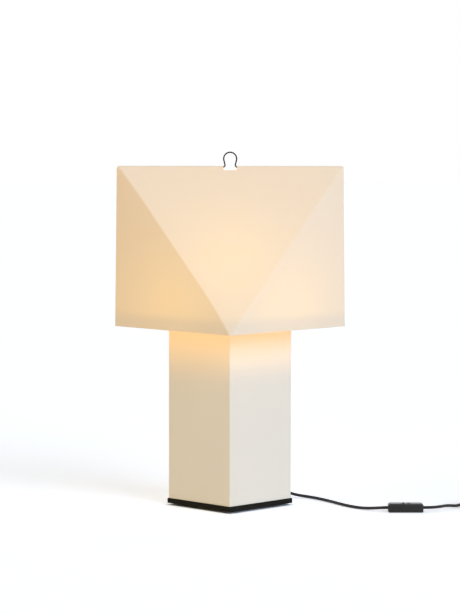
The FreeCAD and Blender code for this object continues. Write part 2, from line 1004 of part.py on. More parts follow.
def coil_knots():
    """Place and heading of the wound cord at each quarter turn."""
    quarters = round(4 * coil_turns_per_layer)
    knots = []
    for index in range(coil_layers * quarters + 1):
        layer, step = divmod(index, quarters)
        turns_in = step / 4
        inward = layer % 2 == 0
        if inward:
            radius = coil_outer_radius - coil_pitch * turns_in
        else:
            radius = coil_inner_radius + coil_pitch * turns_in
        radial = -coil_pitch if inward else coil_pitch
        height = coil_floor_z + coil_pitch * layer
        climb = 0.0
        last = index == coil_layers * quarters
        if step == 0 and 0 < layer and not last:
            radial = 0.0
            height = height - coil_pitch / 2
            climb = coil_pitch * math.pi
        if last:
            height = height - coil_pitch
            radial = coil_pitch
            radius = coil_outer_radius
        angle = math.radians(coil_start_angle) - index * math.pi / 2
        out = vector(math.cos(angle), math.sin(angle), 0)
        round_way = vector(math.sin(angle), -math.cos(angle), 0)
        centre = vector(coil_x, coil_y, height)
        heading = out * radial + round_way * (2 * math.pi * radius) + vector(0, 0, climb)
        heading.normalize()
        knots.append((centre + out * radius, heading))
    return knots


def coil_end(first):
    knots = coil_knots()
    return knots[0] if first else knots[-1]


def arc_from_tangent(start, apex, end):
    """Arc that leaves start towards apex and reaches end, by its middle point."""
    chord = (start + end) * 0.5
    rise = apex - chord
    half_chord = (end - start).Length / 2
    half_turn = math.atan2(rise.Length, half_chord)
    middle = chord + rise * (half_chord * math.tan(half_turn / 2) / rise.Length)
    return Part.Arc(start, middle, end).toShape()


def biarc(start, start_heading, end, end_heading):
    """Two arcs that join two places and headings smoothly."""
    span = end - start
    both = start_heading + end_heading
    spread = 2 * (1 - start_heading.dot(end_heading))
    ahead = span.dot(both)
    reach = (-ahead + math.sqrt(ahead**2 + spread * span.dot(span))) / spread
    first_apex = start + start_heading * reach
    second_apex = end - end_heading * reach
    joint = (first_apex + second_apex) * 0.5
    return [
        arc_from_tangent(start, first_apex, joint),
        arc_from_tangent(joint, second_apex, end),
    ]


def cord_coil():
    """The wound cord: spirals in and out in layers, as one unbroken tube."""
    knots = coil_knots()
    first, heading = knots[0]
    edges = [Part.LineSegment(first - heading * cord_diameter, first).toShape()]
    for (here, along), (there, onward) in zip(knots, knots[1:]):
        edges += biarc(here, along, there, onward)
    last, heading = knots[-1]
    edges.append(Part.LineSegment(last, last + heading * cord_diameter).toShape())
    print(f"cord_coil: least gap to itself {coil_self_gap(edges):.2f} mm")
    return cord_tube(edges, "cord_coil")


def coil_self_gap(edges):
    """Least gap between turns, measured on points along the centre line."""
    spacing = 2.0
    points = []
    for edge in edges:
        count = max(2, round(edge.Length / spacing))
        points += edge.discretize(count + 1)[:-1]
    skip = round(coil_inner_radius * math.pi / spacing)
    least = None
    for index, here in enumerate(points):
        for there in points[index + skip:]:
            gap = here.distanceToPoint(there)
            least = gap if least is None else min(least, gap)
    return least - cord_diameter


def tail_route():
    """From the coil's top down to the strain relief of the plug."""
    last, heading = coil_end(False)
    start = last + heading * cord_diameter
    top = start.z
    return [
        (start.x, start.y, top),
        (start.x + heading.x * 8.5, start.y + heading.y * 8.5, top),
        (438.5, 10.0, 18.0),
        (450.5, 15.0, 13.8),
        (463.0, 17.3, 9.6),
        (475.5, plug_y, plug_axis_height),
        (plug_x, plug_y, plug_axis_height),
    ]


def cord_tail():
    return cord_tube(route_edges(tail_route(), "cord_tail"), "cord_tail")


def coil_tie():
    """Strap round all the turns at one side of the coil."""
    inner_r = coil_inner_radius - cord_radius - tie_gap
    outer_r = coil_outer_radius + cord_radius + tie_gap
    low = coil_lift - tie_gap
    high = coil_floor_z + coil_pitch * (coil_layers - 1) + cord_radius + tie_gap
    middle = (inner_r + outer_r) / 2
    hole = block(outer_r - inner_r, 2 * tie_width, high - low, middle, 0, low)
    wide = outer_r - inner_r + 2 * tie_thickness
    strap = block(wide, tie_width, high - low + 2 * tie_thickness, middle, 0, low - tie_thickness)
    sides = []
    for edge in strap.Edges:
        bounds = edge.BoundBox
        if bounds.YMax - bounds.YMin > tie_width / 2:
            sides.append(edge)
    strap = strap.makeFillet(tie_thickness, sides).cut(hole)
    strap.rotate(vector(0, 0, 0), vector(0, 0, 1), tie_angle)
    strap.translate(vector(coil_x, coil_y, 0))
    return strap


def ribbed_cone(bore, root, tip, length, ribs, depth):
    """Upright tapered sleeve with rounds cut into it, from z = 0 upwards."""
    outline = [(bore, 0), (root, 0)]
    step = length / (ribs + 1)
    for index in range(ribs):
        z = step * (index + 1)
        radius = root + (tip - root) * z / length
        outline.append((radius, z - depth))
        outline.append((radius - depth, z))
        outline.append((radius, z + depth))
    outline.append((tip, length))
    outline.append((bore, length))
    return revolved(outline)


def cord_gland():
    """Bush in the column's back wall, with a flange and a tapered boot."""
    bore = cord_radius + cord_gap
    flange = revolved(
        [
            (bore, 0),
            (gland_flange, 0),
            (gland_flange, gland_flange_thickness - gland_edge),
            (gland_flange - gland_edge, gland_flange_thickness),
            (bore, gland_flange_thickness),
        ]
    )
    stem = rod(2 * gland_stem, gland_stem_length, 0, 0, -gland_stem_length)
    stem = stem.cut(rod(2 * bore, gland_stem_length, 0, 0, -gland_stem_length))
    boot = ribbed_cone(bore, boot_root, boot_tip, boot_length, boot_ribs, boot_rib_depth)
    boot.translate(vector(0, 0, gland_flange_thickness))
    gland = stem.fuse(flange).fuse(boot).removeSplitter()
    return corner_to_front(axis_to_x(gland, column_side / 2, 0, gland_z))


def gland_nut():
    nut = hexagon(gland_nut_flats, gland_nut_height)
    nut = nut.cut(rod(2 * (gland_stem + thread_clearance), gland_nut_height))
    inside = column_side / 2 - column_wall - gland_nut_height
    return corner_to_front(axis_to_x(nut, inside, 0, gland_z))


def inner_cord():
    """The cord inside the lamp: through the gland, round and up into the lampholder."""
    top = core_top - core_height
    bend_x = inner_bend
    dip = inner_bend * (1 - math.sqrt(0.5))
    pieces = [
        [vector(gland_tip, 0, gland_z), vector(bend_x, 0, gland_z)],
        [
            vector(bend_x, 0, gland_z),
            vector(dip, 0, gland_z + dip),
            vector(0, 0, gland_z + inner_bend),
        ],
        [vector(0, 0, gland_z + inner_bend), vector(0, 0, top)],
    ]
    return corner_to_front(bent_rod(pieces, cord_diameter, vector(0, 1, 0), cord_sides))


def clamp_x():
    return column_side / 2 - clamp_setback - clamp_length / 2


def cord_clamp():
    """Saddle screwed to the base plate, which takes any pull off the wires."""
    top = gland_z + cord_radius + clamp_cover
    saddle = block(clamp_length, clamp_width, top - plate_top, clamp_x(), 0, plate_top)
    shoulder = (clamp_width - 2 * clamp_cover - cord_diameter) / 2
    lowered = gland_z - plate_top
    long = clamp_length + 2 * overcut
    for sign in (-1, 1):
        y = sign * (clamp_width - shoulder) / 2
        step = block(long, shoulder, top - plate_top, clamp_x(), y, plate_top + lowered)
        hole = rod(
            clamp_screw_diameter + 2 * screw_clearance,
            top,
            clamp_x(),
            sign * clamp_screw_offset,
            plate_top - overcut,
        )
        saddle = saddle.cut(step).cut(hole)
    bore = Part.makeCylinder(
        cord_radius + cord_gap,
        long,
        vector(clamp_x() - long / 2, 0, gland_z),
        vector(1, 0, 0),
    )
    return corner_to_front(saddle.cut(bore))


def clamp_screws():
    length = gland_height + clamp_screw_depth - block_margin / 2
    screw = pan_screw(
        clamp_screw_diameter, clamp_screw_head, clamp_screw_head_height, length, 1.5
    )
    places = [(clamp_x(), sign * clamp_screw_offset) for sign in (-1, 1)]
    return corner_to_front(group([placed(screw, x, y, gland_z) for x, y in places]))


# Switch


def switch_outside():
    """Whole outside of the switch: rounded corners, broad bevel round the top."""
    body = block(switch_length, switch_width, switch_height)
    body = body.makeFillet(switch_corner, upright_edges(body))
    body = body.makeChamfer(switch_edge, edges_at_height(body, switch_height))
    return body.makeChamfer(switch_foot_edge, edges_at_height(body, 0))


def switch_screw_places():
    return [(-switch_screw_x, switch_screw_y), (switch_screw_x, -switch_screw_y)]


def switch_half(low, high, floor_side):
    """One half of the housing, hollow towards the seam, with its screw posts."""
    slab = block(2 * switch_length, 2 * switch_width, high - low, 0, 0, low)
    shell = switch_outside().common(slab)
    hollow_length = switch_length - 2 * switch_wall
    hollow_width = switch_width - 2 * switch_wall
    hollow_low = low + switch_wall if floor_side else low
    hollow_high = high if floor_side else high - switch_wall
    depth = hollow_high - hollow_low
    shell = shell.cut(block(hollow_length, hollow_width, depth, 0, 0, hollow_low))
    for x, y in switch_screw_places():
        shell = shell.fuse(rod(2 * switch_post_radius, depth, x, y, hollow_low))
    for sign in (-1, 1):
        passage = Part.makeCylinder(
            cord_radius + cord_gap,
            switch_wall + 2 * overcut,
            vector(sign * (switch_length / 2 + overcut), 0, switch_seam),
            vector(-sign, 0, 0),
        )
        shell = shell.cut(passage)
    return shell


def in_place(shape):
    shape.translate(vector(switch_x, switch_y, 0))
    return shape


def switch_base():
    shell = switch_half(0, switch_seam, True)
    cutter = countersunk_hole(
        switch_screw_diameter, switch_screw_head, switch_screw_head_height, switch_seam
    )
    for x, y in switch_screw_places():
        shell = shell.cut(placed(cutter, x, y, 0))
    return in_place(shell)


def switch_cover():
    shell = switch_half(switch_seam, switch_height, False)
    window_length = 2 * (rocker_radius + rocker_gap)
    window_width = rocker_width + 2 * rocker_gap
    shell = shell.cut(block(window_length, window_width, switch_height, 0, 0, switch_seam))
    roof = switch_height - switch_wall
    ear_low = pivot_height - pivot_diameter
    ear_y = window_width / 2 + ear_thickness
    for sign in (-1, 1):
        y = sign * (window_width + ear_thickness) / 2
        ear = block(2 * ear_half_length, ear_thickness, roof - ear_low, 0, y, ear_low)
        shell = shell.fuse(ear)
    bore = Part.makeCylinder(
        pivot_diameter / 2 + pivot_hold,
        2 * ear_y,
        vector(0, -ear_y, pivot_height),
        vector(0, 1, 0),
    )
    shell = shell.cut(bore)
    depth = roof - screw_end_gap / 2 - switch_seam
    for x, y in switch_screw_places():
        bore = rod(switch_screw_diameter + 2 * thread_clearance, depth, x, y, switch_seam)
        shell = shell.cut(bore)
    return in_place(shell)


def switch_rocker():
    """Rocker whose ends are arcs about its pivot, tilted to its on position."""
    reach = rocker_radius + overcut
    outline = [
        (-reach, -rocker_bottom),
        (reach, -rocker_bottom),
        (reach, rocker_top + rocker_slope * reach),
        (0, rocker_top),
        (-reach, rocker_top + rocker_slope * reach),
    ]
    corners = [vector(x, -rocker_width / 2, z) for x, z in outline]
    corners.append(corners[0])
    prism = Part.Face(Part.makePolygon(corners)).extrude(vector(0, rocker_width, 0))
    round_ends = Part.makeCylinder(
        rocker_radius, rocker_width, vector(0, -rocker_width / 2, 0), vector(0, 1, 0)
    )
    bore = Part.makeCylinder(
        pivot_diameter / 2 + pivot_clearance,
        rocker_width,
        vector(0, -rocker_width / 2, 0),
        vector(0, 1, 0),
    )
    rocker = prism.common(round_ends).cut(bore)
    rocker.rotate(vector(0, 0, 0), vector(0, 1, 0), rocker_tilt)
    rocker.translate(vector(0, 0, pivot_height))
    return in_place(rocker)


def switch_pivot():
    length = rocker_width + 2 * rocker_gap + 2 * ear_thickness
    pin = Part.makeCylinder(
        pivot_diameter / 2, length, vector(0, -length / 2, pivot_height), vector(0, 1, 0)
    )
    return in_place(pin)


def switch_screws():
    length = switch_height - switch_wall - screw_end_gap
    screw = countersunk_screw(
        switch_screw_diameter, switch_screw_head, switch_screw_head_height, length, 1.5
    )
    return in_place(group([placed(screw, x, y, 0) for x, y in switch_screw_places()]))


def switch_terminals():
    """Brass blocks that take the wires at both ends."""
    solids = []
    for sign in (-1, 1):
        end = switch_length / 2 - cord_in_switch - terminal_gap
        x = sign * (end - terminal_length / 2)
        body = block(terminal_length, terminal_width, terminal_height, x, 0, switch_wall)
        hole = rod(terminal_bore, terminal_height / 2, x, 0, switch_wall + terminal_height / 2)
        solids.append(body.cut(hole))
    return in_place(group(solids))


# Plug


def plug_start():
    return plug_x + relief_length


def pin_places():
    """Where the two pins begin, inside the plug's body."""
    x = plug_start() + plug_length - pin_hold
    return [(x, plug_y + sign * pin_spacing / 2, plug_axis_height) for sign in (-1, 1)]


def plug_body():
    """Flat two-pin plug: wide at the pins, drawn in by arcs towards the cord."""
    tail = plug_tail_width / 2
    wide = plug_width / 2
    taper = plug_length - plug_face_length
    waist = (tail + wide) / 2 - plug_flank_bow
    edges = [
        Part.makeLine(vector(0, -tail, 0), vector(0, tail, 0)),
        Part.Arc(
            vector(0, tail, 0), vector(taper / 2, waist, 0), vector(taper, wide, 0)
        ).toShape(),
        Part.makeLine(vector(taper, wide, 0), vector(plug_length, wide, 0)),
        Part.makeLine(vector(plug_length, wide, 0), vector(plug_length, -wide, 0)),
        Part.makeLine(vector(plug_length, -wide, 0), vector(taper, -wide, 0)),
        Part.Arc(
            vector(taper, -wide, 0), vector(taper / 2, -waist, 0), vector(0, -tail, 0)
        ).toShape(),
    ]
    face = Part.Face(Part.Wire(Part.sortEdges(edges)[0]))
    body = face.extrude(vector(0, 0, plug_thickness))
    rims = edges_at_height(body, 0) + edges_at_height(body, plug_thickness)
    body = body.makeChamfer(plug_edge, rims)
    body.translate(vector(plug_start(), plug_y, plug_axis_height - plug_thickness / 2))
    hole_radius = sleeve_diameter / 2 + sleeve_clearance
    for place in pin_places():
        hole = Part.makeCylinder(hole_radius, pin_hold, vector(*place), vector(1, 0, 0))
        body = body.cut(hole)
    return body


def plug_relief():
    cone = ribbed_cone(0, relief_root, relief_tip, relief_length, relief_ribs, relief_rib_depth)
    cone.rotate(vector(0, 0, 0), vector(1, 0, 0), 180)
    cone.translate(vector(0, 0, relief_length))
    return axis_to_x(cone, plug_x, plug_y, plug_axis_height)


def plug_pins():
    """Round pins, thinner where their sleeves are, with bevelled tips."""
    core = pin_core_diameter / 2
    full = pin_diameter / 2
    total = pin_hold + pin_length
    shoulder = total - pin_tip_length
    outline = [
        (0, 0),
        (core, 0),
        (core, shoulder),
        (full, shoulder),
        (full, total - pin_point),
        (full - pin_point, total),
        (0, total),
    ]
    return group([axis_to_x(revolved(outline), *place) for place in pin_places()])


def plug_sleeves():
    """Insulating sleeves on the inner half of the pins."""
    length = pin_hold + pin_length - pin_tip_length
    sleeve = rod(sleeve_diameter, length).cut(
        rod(pin_core_diameter + 2 * sleeve_clearance, length)
    )
    return group([axis_to_x(sleeve.copy(), *place) for place in pin_places()])


pieces = {
    "foot_pads": foot_pads,
    "base_plate": base_plate,
    "base_screws": base_screws,
    "corner_blocks": corner_blocks,
    "column_sleeve": column_sleeve,
    "holder_plate_blocks": holder_plate_blocks,
    "holder_plate": holder_plate,
    "holder_plate_screws": holder_plate_screws,
    "nipple": nipple,
    "nipple_washer": nipple_washer,
    "nipple_nut": nipple_nut,
    "holder_dome": holder_dome,
    "holder_skirt": holder_skirt,
    "holder_core": holder_core,
    "holder_thread": holder_thread,
    "holder_contact": holder_contact,
    "bulb_cap": bulb_cap,
    "bulb_insulator": bulb_insulator,
    "bulb_tip": bulb_tip,
    "bulb_housing": bulb_housing,
    "bulb_globe": bulb_globe,
    "shade_paper": shade_paper,
    "loop_wire": loop_wire,
    "ring_frame": ring_frame,
    "cord_gland": cord_gland,
    "gland_nut": gland_nut,
    "inner_cord": inner_cord,
    "cord_clamp": cord_clamp,
    "clamp_screws": clamp_screws,
    "cord_to_switch": cord_to_switch,
    "cord_from_switch": cord_from_switch,
    "cord_coil": cord_coil,
    "coil_tie": coil_tie,
    "cord_tail": cord_tail,
    "switch_base": switch_base,
    "switch_cover": switch_cover,
    "switch_rocker": switch_rocker,
    "switch_pivot": switch_pivot,
    "switch_screws": switch_screws,
    "switch_terminals": switch_terminals,
    "plug_body": plug_body,
    "plug_relief": plug_relief,
    "plug_pins": plug_pins,
    "plug_sleeves": plug_sleeves,
}

os.makedirs("parts", exist_ok=True)
for name, make in pieces.items():
    shape = make()
    if not shape.isValid():
        print(f"{name}: shape is not valid")
    shape.exportStep(f"parts/{name}.step")
    print(f"{name}: {len(shape.Solids)} solid(s), {shape.Volume:.0f} cubic mm")
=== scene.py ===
import bmesh
import bpy
import math
from mathutils import Matrix, Vector


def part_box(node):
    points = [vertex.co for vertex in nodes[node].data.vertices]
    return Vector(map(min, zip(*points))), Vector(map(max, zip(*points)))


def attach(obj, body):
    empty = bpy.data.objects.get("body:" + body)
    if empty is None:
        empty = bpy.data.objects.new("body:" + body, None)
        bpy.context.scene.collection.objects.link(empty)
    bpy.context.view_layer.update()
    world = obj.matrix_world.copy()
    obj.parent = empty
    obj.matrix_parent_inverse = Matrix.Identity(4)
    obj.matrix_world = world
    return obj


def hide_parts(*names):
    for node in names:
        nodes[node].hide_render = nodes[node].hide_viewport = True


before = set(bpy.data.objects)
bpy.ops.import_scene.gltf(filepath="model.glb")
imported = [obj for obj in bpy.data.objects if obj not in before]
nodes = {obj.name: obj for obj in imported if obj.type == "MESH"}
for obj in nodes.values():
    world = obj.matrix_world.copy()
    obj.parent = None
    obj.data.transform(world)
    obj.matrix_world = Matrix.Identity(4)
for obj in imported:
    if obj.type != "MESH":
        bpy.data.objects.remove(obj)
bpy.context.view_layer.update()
print("frame loaded:", len(nodes), "nodes")

mm = 0.001


# helpers for meshes, shared by all pieces

def newObject(name, mesh):
    obj = bpy.data.objects.new(name, mesh)
    bpy.context.scene.collection.objects.link(obj)
    return obj


def objectFromBmesh(name, bm):
    mesh = bpy.data.meshes.new(name)
    bm.to_mesh(mesh)
    bm.free()
    return newObject(name, mesh)


def smoothByAngle(mesh, degrees):
    mesh.shade_smooth()
    mesh.set_sharp_from_angle(angle=math.radians(degrees))


def bakeModifiers(obj):
    # the evaluated mesh takes the place of the mesh and its modifiers
    depsgraph = bpy.context.evaluated_depsgraph_get()
    baked = bpy.data.meshes.new_from_object(obj.evaluated_get(depsgraph), depsgraph=depsgraph)
    obj.modifiers.clear()
    obj.data = baked
    return obj


def bevelModifier(obj, width, segments=2, degrees=35):
    bevel = obj.modifiers.new("edges", "BEVEL")
    bevel.width = width
    bevel.segments = segments
    bevel.limit_method = "ANGLE"
    bevel.angle_limit = math.radians(degrees)


def wallModifier(obj, thickness, offset=-1):
    wall = obj.modifiers.new("wall", "SOLIDIFY")
    wall.thickness = thickness
    wall.offset = offset
    return wall


def cutWith(obj, cutter, operation):
    # the cutter is used up
    cut = obj.modifiers.new("cut", "BOOLEAN")
    cut.operation = operation
    cut.object = cutter
    cut.solver = "EXACT"
    bakeModifiers(obj)
    bpy.data.objects.remove(cutter)


def bevelEdges(bm, edges, radius, segments):
    bmesh.ops.bevel(
        bm, geom=edges, offset=radius, offset_type="OFFSET",
        segments=segments, profile=0.5, affect="EDGES", material=-1,
    )


def cutAcross(bm, height, facing=1, inner=False, outer=False):
    # a level cut; inner takes off what lies behind the plane, and outer what it faces
    bmesh.ops.bisect_plane(
        bm, geom=bm.verts[:] + bm.edges[:] + bm.faces[:], plane_co=(0, 0, height),
        plane_no=(0, 0, facing), clear_inner=inner, clear_outer=outer,
    )


def elementsOf(result, kind):
    return [element for element in result["geom"] if isinstance(element, kind)]


def chain(bm, points):
    # open line of edges through the points
    verts = [bm.verts.new(point) for point in points]
    return verts, [bm.edges.new(pair) for pair in zip(verts, verts[1:])]


def drawnOut(name, outline, step):
    # solid from an outline in metres, drawn out by one step
    bm = bmesh.new()
    face = bm.faces.new([bm.verts.new(point) for point in outline])
    grown = bmesh.ops.extrude_face_region(bm, geom=[face])
    bmesh.ops.translate(bm, verts=elementsOf(grown, bmesh.types.BMVert), vec=step)
    bmesh.ops.recalc_face_normals(bm, faces=bm.faces)
    return objectFromBmesh(name, bm)


def spun(name, profile, steps=96):
    # closed or open (radius, z) profile in mm, turned round Z
    bm = bmesh.new()
    verts, edges = chain(bm, [(radius * mm, 0, z * mm) for radius, z in profile])
    bmesh.ops.spin(
        bm, geom=verts + edges, cent=(0, 0, 0), axis=(0, 0, 1),
        angle=math.tau, steps=steps, use_merge=True,
    )
    bmesh.ops.remove_doubles(bm, verts=bm.verts, dist=1e-6)
    bmesh.ops.recalc_face_normals(bm, faces=bm.faces)
    return objectFromBmesh(name, bm)


def dressed(node, bevel=0.0, smooth=28, name=None):
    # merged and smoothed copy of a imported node, with its edges eased
    source = nodes[node].data.copy()
    if "custom_normal" in source.attributes:
        source.attributes.remove(source.attributes["custom_normal"])
    bm = bmesh.new()
    bm.from_mesh(source)
    bmesh.ops.remove_doubles(bm, verts=bm.verts, dist=2e-6)
    bmesh.ops.dissolve_limit(
        bm, angle_limit=math.radians(0.4), verts=bm.verts, edges=bm.edges,
    )
    obj = objectFromBmesh(name or node + "Finished", bm)
    smoothByAngle(obj.data, smooth)
    if bevel:
        bevelModifier(obj, bevel)
    return obj


def joined(name, *parts):
    bm = bmesh.new()
    for part in parts:
        bm.from_mesh(part.data)
        bpy.data.objects.remove(part)
    return objectFromBmesh(name, bm)


def setMaterial(obj, *materials):
    obj.data.materials.clear()
    for material in materials:
        obj.data.materials.append(material)


def place(obj, body, slot, *replaced):
    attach(obj, body)
    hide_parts(*replaced)


def finishAll(*rows):
    # each row: piece, material, body, slot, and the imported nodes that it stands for
    for piece, material, *rest in rows:
        setMaterial(piece, material)
        place(piece, *rest)
    return [row[0] for row in rows]


# helpers for materials, and the effects that several materials share

def feed(tree, socket, value):
    # an output of another node is linked, and a value is set on the socket itself
    if isinstance(value, bpy.types.NodeSocket):
        tree.links.new(value, socket)
    else:
        socket.default_value = value


def feedAll(tree, node, inputs):
    # inputs go by socket name, or by number where names repeat
    for name, value in inputs.items():
        feed(tree, node.inputs[name], value)


def addNode(tree, kind, x, y, inputs=None, **values):
    node = tree.nodes.new(kind)
    node.location = (x, y)
    for key, value in values.items():
        setattr(node, key, value)
    feedAll(tree, node, inputs or {})
    return node


def mathNode(tree, operation, x, y, *terms):
    return addNode(tree, "ShaderNodeMath", x, y, dict(enumerate(terms)), operation=operation).outputs[0]


def mixColors(tree, x, y, factor, first, second, blend="MIX"):
    inputs = {0: factor, 6: first, 7: second}
    return addNode(tree, "ShaderNodeMix", x, y, inputs, data_type="RGBA", blend_type=blend).outputs[2]


def noise(tree, x, y, vector, scale, detail=3.0, rough=0.5):
    inputs = {"Vector": vector, "Scale": scale, "Detail": detail, "Roughness": rough}
    return addNode(tree, "ShaderNodeTexNoise", x, y, inputs).outputs["Fac"]


def rangeNode(tree, x, y, value, start, end, low=0.0, high=1.0, kind="SMOOTHSTEP"):
    inputs = {"Value": value, "From Min": start, "From Max": end, "To Min": low, "To Max": high}
    return addNode(tree, "ShaderNodeMapRange", x, y, inputs, interpolation_type=kind).outputs["Result"]


def splitVector(tree, x, y, vector):
    return addNode(tree, "ShaderNodeSeparateXYZ", x, y, {0: vector}).outputs


def mapped(tree, x, y, vector, scale, rotation=(0, 0, 0)):
    inputs = {"Vector": vector, "Scale": scale, "Rotation": rotation}
    return addNode(tree, "ShaderNodeMapping", x, y, inputs).outputs["Vector"]


def makeGroup(name, inputs, outputs):
    # a socket's kind follows from its default: none for a vector, four numbers for a colour
    group = bpy.data.node_groups.new(name, "ShaderNodeTree")
    for socketName, value in inputs.items():
        kind = "Vector" if value is None else "Color" if isinstance(value, tuple) else "Float"
        socket = group.interface.new_socket(socketName, in_out="INPUT", socket_type="NodeSocket" + kind)
        if value is not None:
            socket.default_value = value
    for socketName in outputs:
        kind = "Color" if socketName == "Color" else "Float"
        group.interface.new_socket(socketName, in_out="OUTPUT", socket_type="NodeSocket" + kind)
    start = addNode(group, "NodeGroupInput", -900, 0)
    end = addNode(group, "NodeGroupOutput", 700, 0)
    return group, start.outputs, end


def groupNode(tree, group, inputs):
    node = addNode(tree, "ShaderNodeGroup", -1000, 200, node_tree=group)
    feedAll(tree, node, inputs)
    return node.outputs


def makeFineGrain():
    # moulded, cast or sprayed skin: fine grain over a slow change of tone
    group, given, end = makeGroup(
        "fineGrain",
        {
            "Vector": None, "Scale": 900.0, "Color": (0.5, 0.5, 0.5, 1), "Tone": (0.4, 0.4, 0.4, 1),
            "Tone Amount": 0.5, "Roughness": 0.5, "Roughness Spread": 0.1,
        },
        ("Color", "Roughness", "Height"),
    )
    fine = noise(group, -600, 200, given["Vector"], given["Scale"], 4.0, 0.6)
    slowScale = mathNode(group, "MULTIPLY", -750, -100, given["Scale"], 0.035)
    slow = noise(group, -600, -100, given["Vector"], slowScale, 2.0)
    blotch = mathNode(group, "MULTIPLY", -400, 0, fine, slow)
    amount = mathNode(group, "MULTIPLY", -200, 0, blotch, given["Tone Amount"])
    shift = mathNode(group, "SUBTRACT", -400, -250, slow, 0.5)
    spread = mathNode(group, "MULTIPLY", -200, -250, shift, given["Roughness Spread"])
    feedAll(group, end, {
        "Color": mixColors(group, 0, 100, amount, given["Color"], given["Tone"]),
        "Roughness": mathNode(group, "ADD", 0, -200, spread, given["Roughness"]),
        "Height": fine,
    })
    return group


fineGrain = makeFineGrain()


def startMaterial(name):
    material = bpy.data.materials.new(name)
    material.use_nodes = True
    tree = material.node_tree
    coords = addNode(tree, "ShaderNodeTexCoord", -1300, 0)
    return material, tree, tree.nodes["Principled BSDF"], coords.outputs["Object"]


def bumpInto(tree, shader, height, strength, distance):
    inputs = {"Height": height, "Strength": strength, "Distance": distance}
    bump = addNode(tree, "ShaderNodeBump", -250, -350, inputs)
    feed(tree, shader.inputs["Normal"], bump.outputs["Normal"])


def grainMaterial(name, finish):
    material, tree, shader, vector = startMaterial(name)
    skin = groupNode(tree, fineGrain, {
        "Vector": vector, "Scale": finish["scale"], "Color": (*finish["color"], 1),
        "Tone": (*finish["tone"], 1), "Tone Amount": finish.get("amount", 0.6),
        "Roughness": finish["rough"], "Roughness Spread": finish.get("spread", 0.12),
    })
    feedAll(tree, shader, {
        "Base Color": skin["Color"], "Roughness": skin["Roughness"],
        "Coat Weight": finish.get("coat", 0.0), "Specular IOR Level": finish.get("specular", 0.5),
    })
    bumpInto(tree, shader, skin["Height"], finish.get("bump", 0.3), finish.get("depth", 5e-5))
    return material


cameraSettings = {
    "place": (0, -4.6, 0.68416),
    "pitch": 0.0738,
    "roll": 0.0011,
    "lens": 157.2,
    "sensor": 36.0,
}


def makeCamera(settings):
    data = bpy.data.cameras.new("photoCamera")
    data.lens = settings["lens"]
    data.sensor_width = settings["sensor"]
    data.clip_start = 0.05
    data.clip_end = 60
    camera = newObject("photoCamera", data)
    turn = Matrix.Rotation(math.pi / 2 - settings["pitch"], 4, "X")
    roll = Matrix.Rotation(settings["roll"], 4, "Z")
    camera.matrix_world = Matrix.Translation(settings["place"]) @ turn @ roll
    bpy.context.scene.camera = camera


makeCamera(cameraSettings)
print("camera placed")


# the cord, in two stretches with the switch between them

cordSettings = {
    "diameter": 5.2 * mm,
    "sides": 16,
    "step": 0.0012,  # length of one ring of the mesh
    "farStep": 0.0019,
    "threads": 16,  # braid threads round the sleeve
    "pitch": 0.0062,  # length of one turn of a braid thread
    "sink": -0.35,  # how far the threads sink where the two families cross
    "dipShade": (0.35, 0.45),
    "dark": (0.008, 0.008, 0.009, 1),
    "light": (0.026, 0.026, 0.029, 1),
    "rough": 0.82,
    "sheen": 0.1,
    "sheenRough": 0.4,
    "bump": (0.8, 0.00025),  # strength and depth
    "innerBend": 45 * mm,  # inside the column
}

glandReach = 68.589  # where the cord leaves the gland's boot, along X and Y
glandHeight = 19.6
switchSeam = 7.4

nearRoute = [
    (glandReach, glandReach, glandHeight),
    (79.5, 79.5, glandHeight),
    (93.5, 86.5, 13.6),
    (110.0, 84.0, 6.6),
    (126.0, 79.0, 4.2),
    (140.0, 72.5, 3.0),
    (151.5, 61.5, 2.65),
    (160.5, 47.5, 2.65),
    (171.5, 29.5, 2.65),
    (183.0, 8.0, 2.65),
    (194.5, -15.0, 2.65),
    (207.5, -36.5, 2.65),
    (222.5, -53.5, 2.65),
    (237.0, -67.5, 3.9),
    (251.5, -78.3, 6.1),
    (266.0, -81.5, switchSeam),
    (275.2, -81.5, switchSeam),
]

farRoute = [
    (323.2, -81.5, switchSeam),
    (337.5, -81.5, switchSeam),
    (349.5, -78.7, 7.6),
    (359.6, -70.0, 7.4),
    (367.5, -57.5, 6.8),
    (377.0, -45.5, 5.6),
    (388.9, -38.0, 3.7),
]

tailRoute = [
    (438.5, 10.0, 18.0),
    (450.5, 15.0, 13.8),
    (463.0, 17.3, 9.6),
    (475.5, 17.0, 7.0),
    (486.0, 17.0, 7.0),
]

coilSettings = {
    "centre": (439.1, -33.4),
    "inner": 23.5,
    "pitch": 5.75,
    "turnsPerLayer": 1.75,
    "layers": 4,
    "startAngle": 137.0,
    "lift": 3.5,  # centre line of the lowest turns
    "pointsPerTurn": 16,
    "leadRun": 19.2,  # straight stretch before the first turn
    "leaveRun": 13.7,  # and after the last one
    "climb": 0.25,  # turns before and after a reversal in which the cord climbs
}


def coilPoint(turns, settings):
    # place on the coil after that many turns: spirals in and out, layer on layer
    perLayer = settings["turnsPerLayer"]
    outer = settings["inner"] + settings["pitch"] * perLayer
    layer = min(int(turns / perLayer + 1e-9), settings["layers"] - 1)
    done = turns - layer * perLayer
    inward = layer % 2 == 0
    radius = outer - settings["pitch"] * done if inward else settings["inner"] + settings["pitch"] * done
    height = settings["lift"]
    for boundary in range(1, settings["layers"]):
        share = (turns - boundary * perLayer + settings["climb"]) / (2 * settings["climb"])
        share = min(max(share, 0.0), 1.0)
        height += settings["pitch"] * share * share * (3 - 2 * share)
    # a spline's line runs this much inside its control points
    inset = math.cos(math.pi / settings["pointsPerTurn"])
    angle = math.radians(settings["startAngle"]) - turns * math.tau
    x = settings["centre"][0] + radius / inset * math.cos(angle)
    y = settings["centre"][1] + radius / inset * math.sin(angle)
    return Vector((x, y, height))


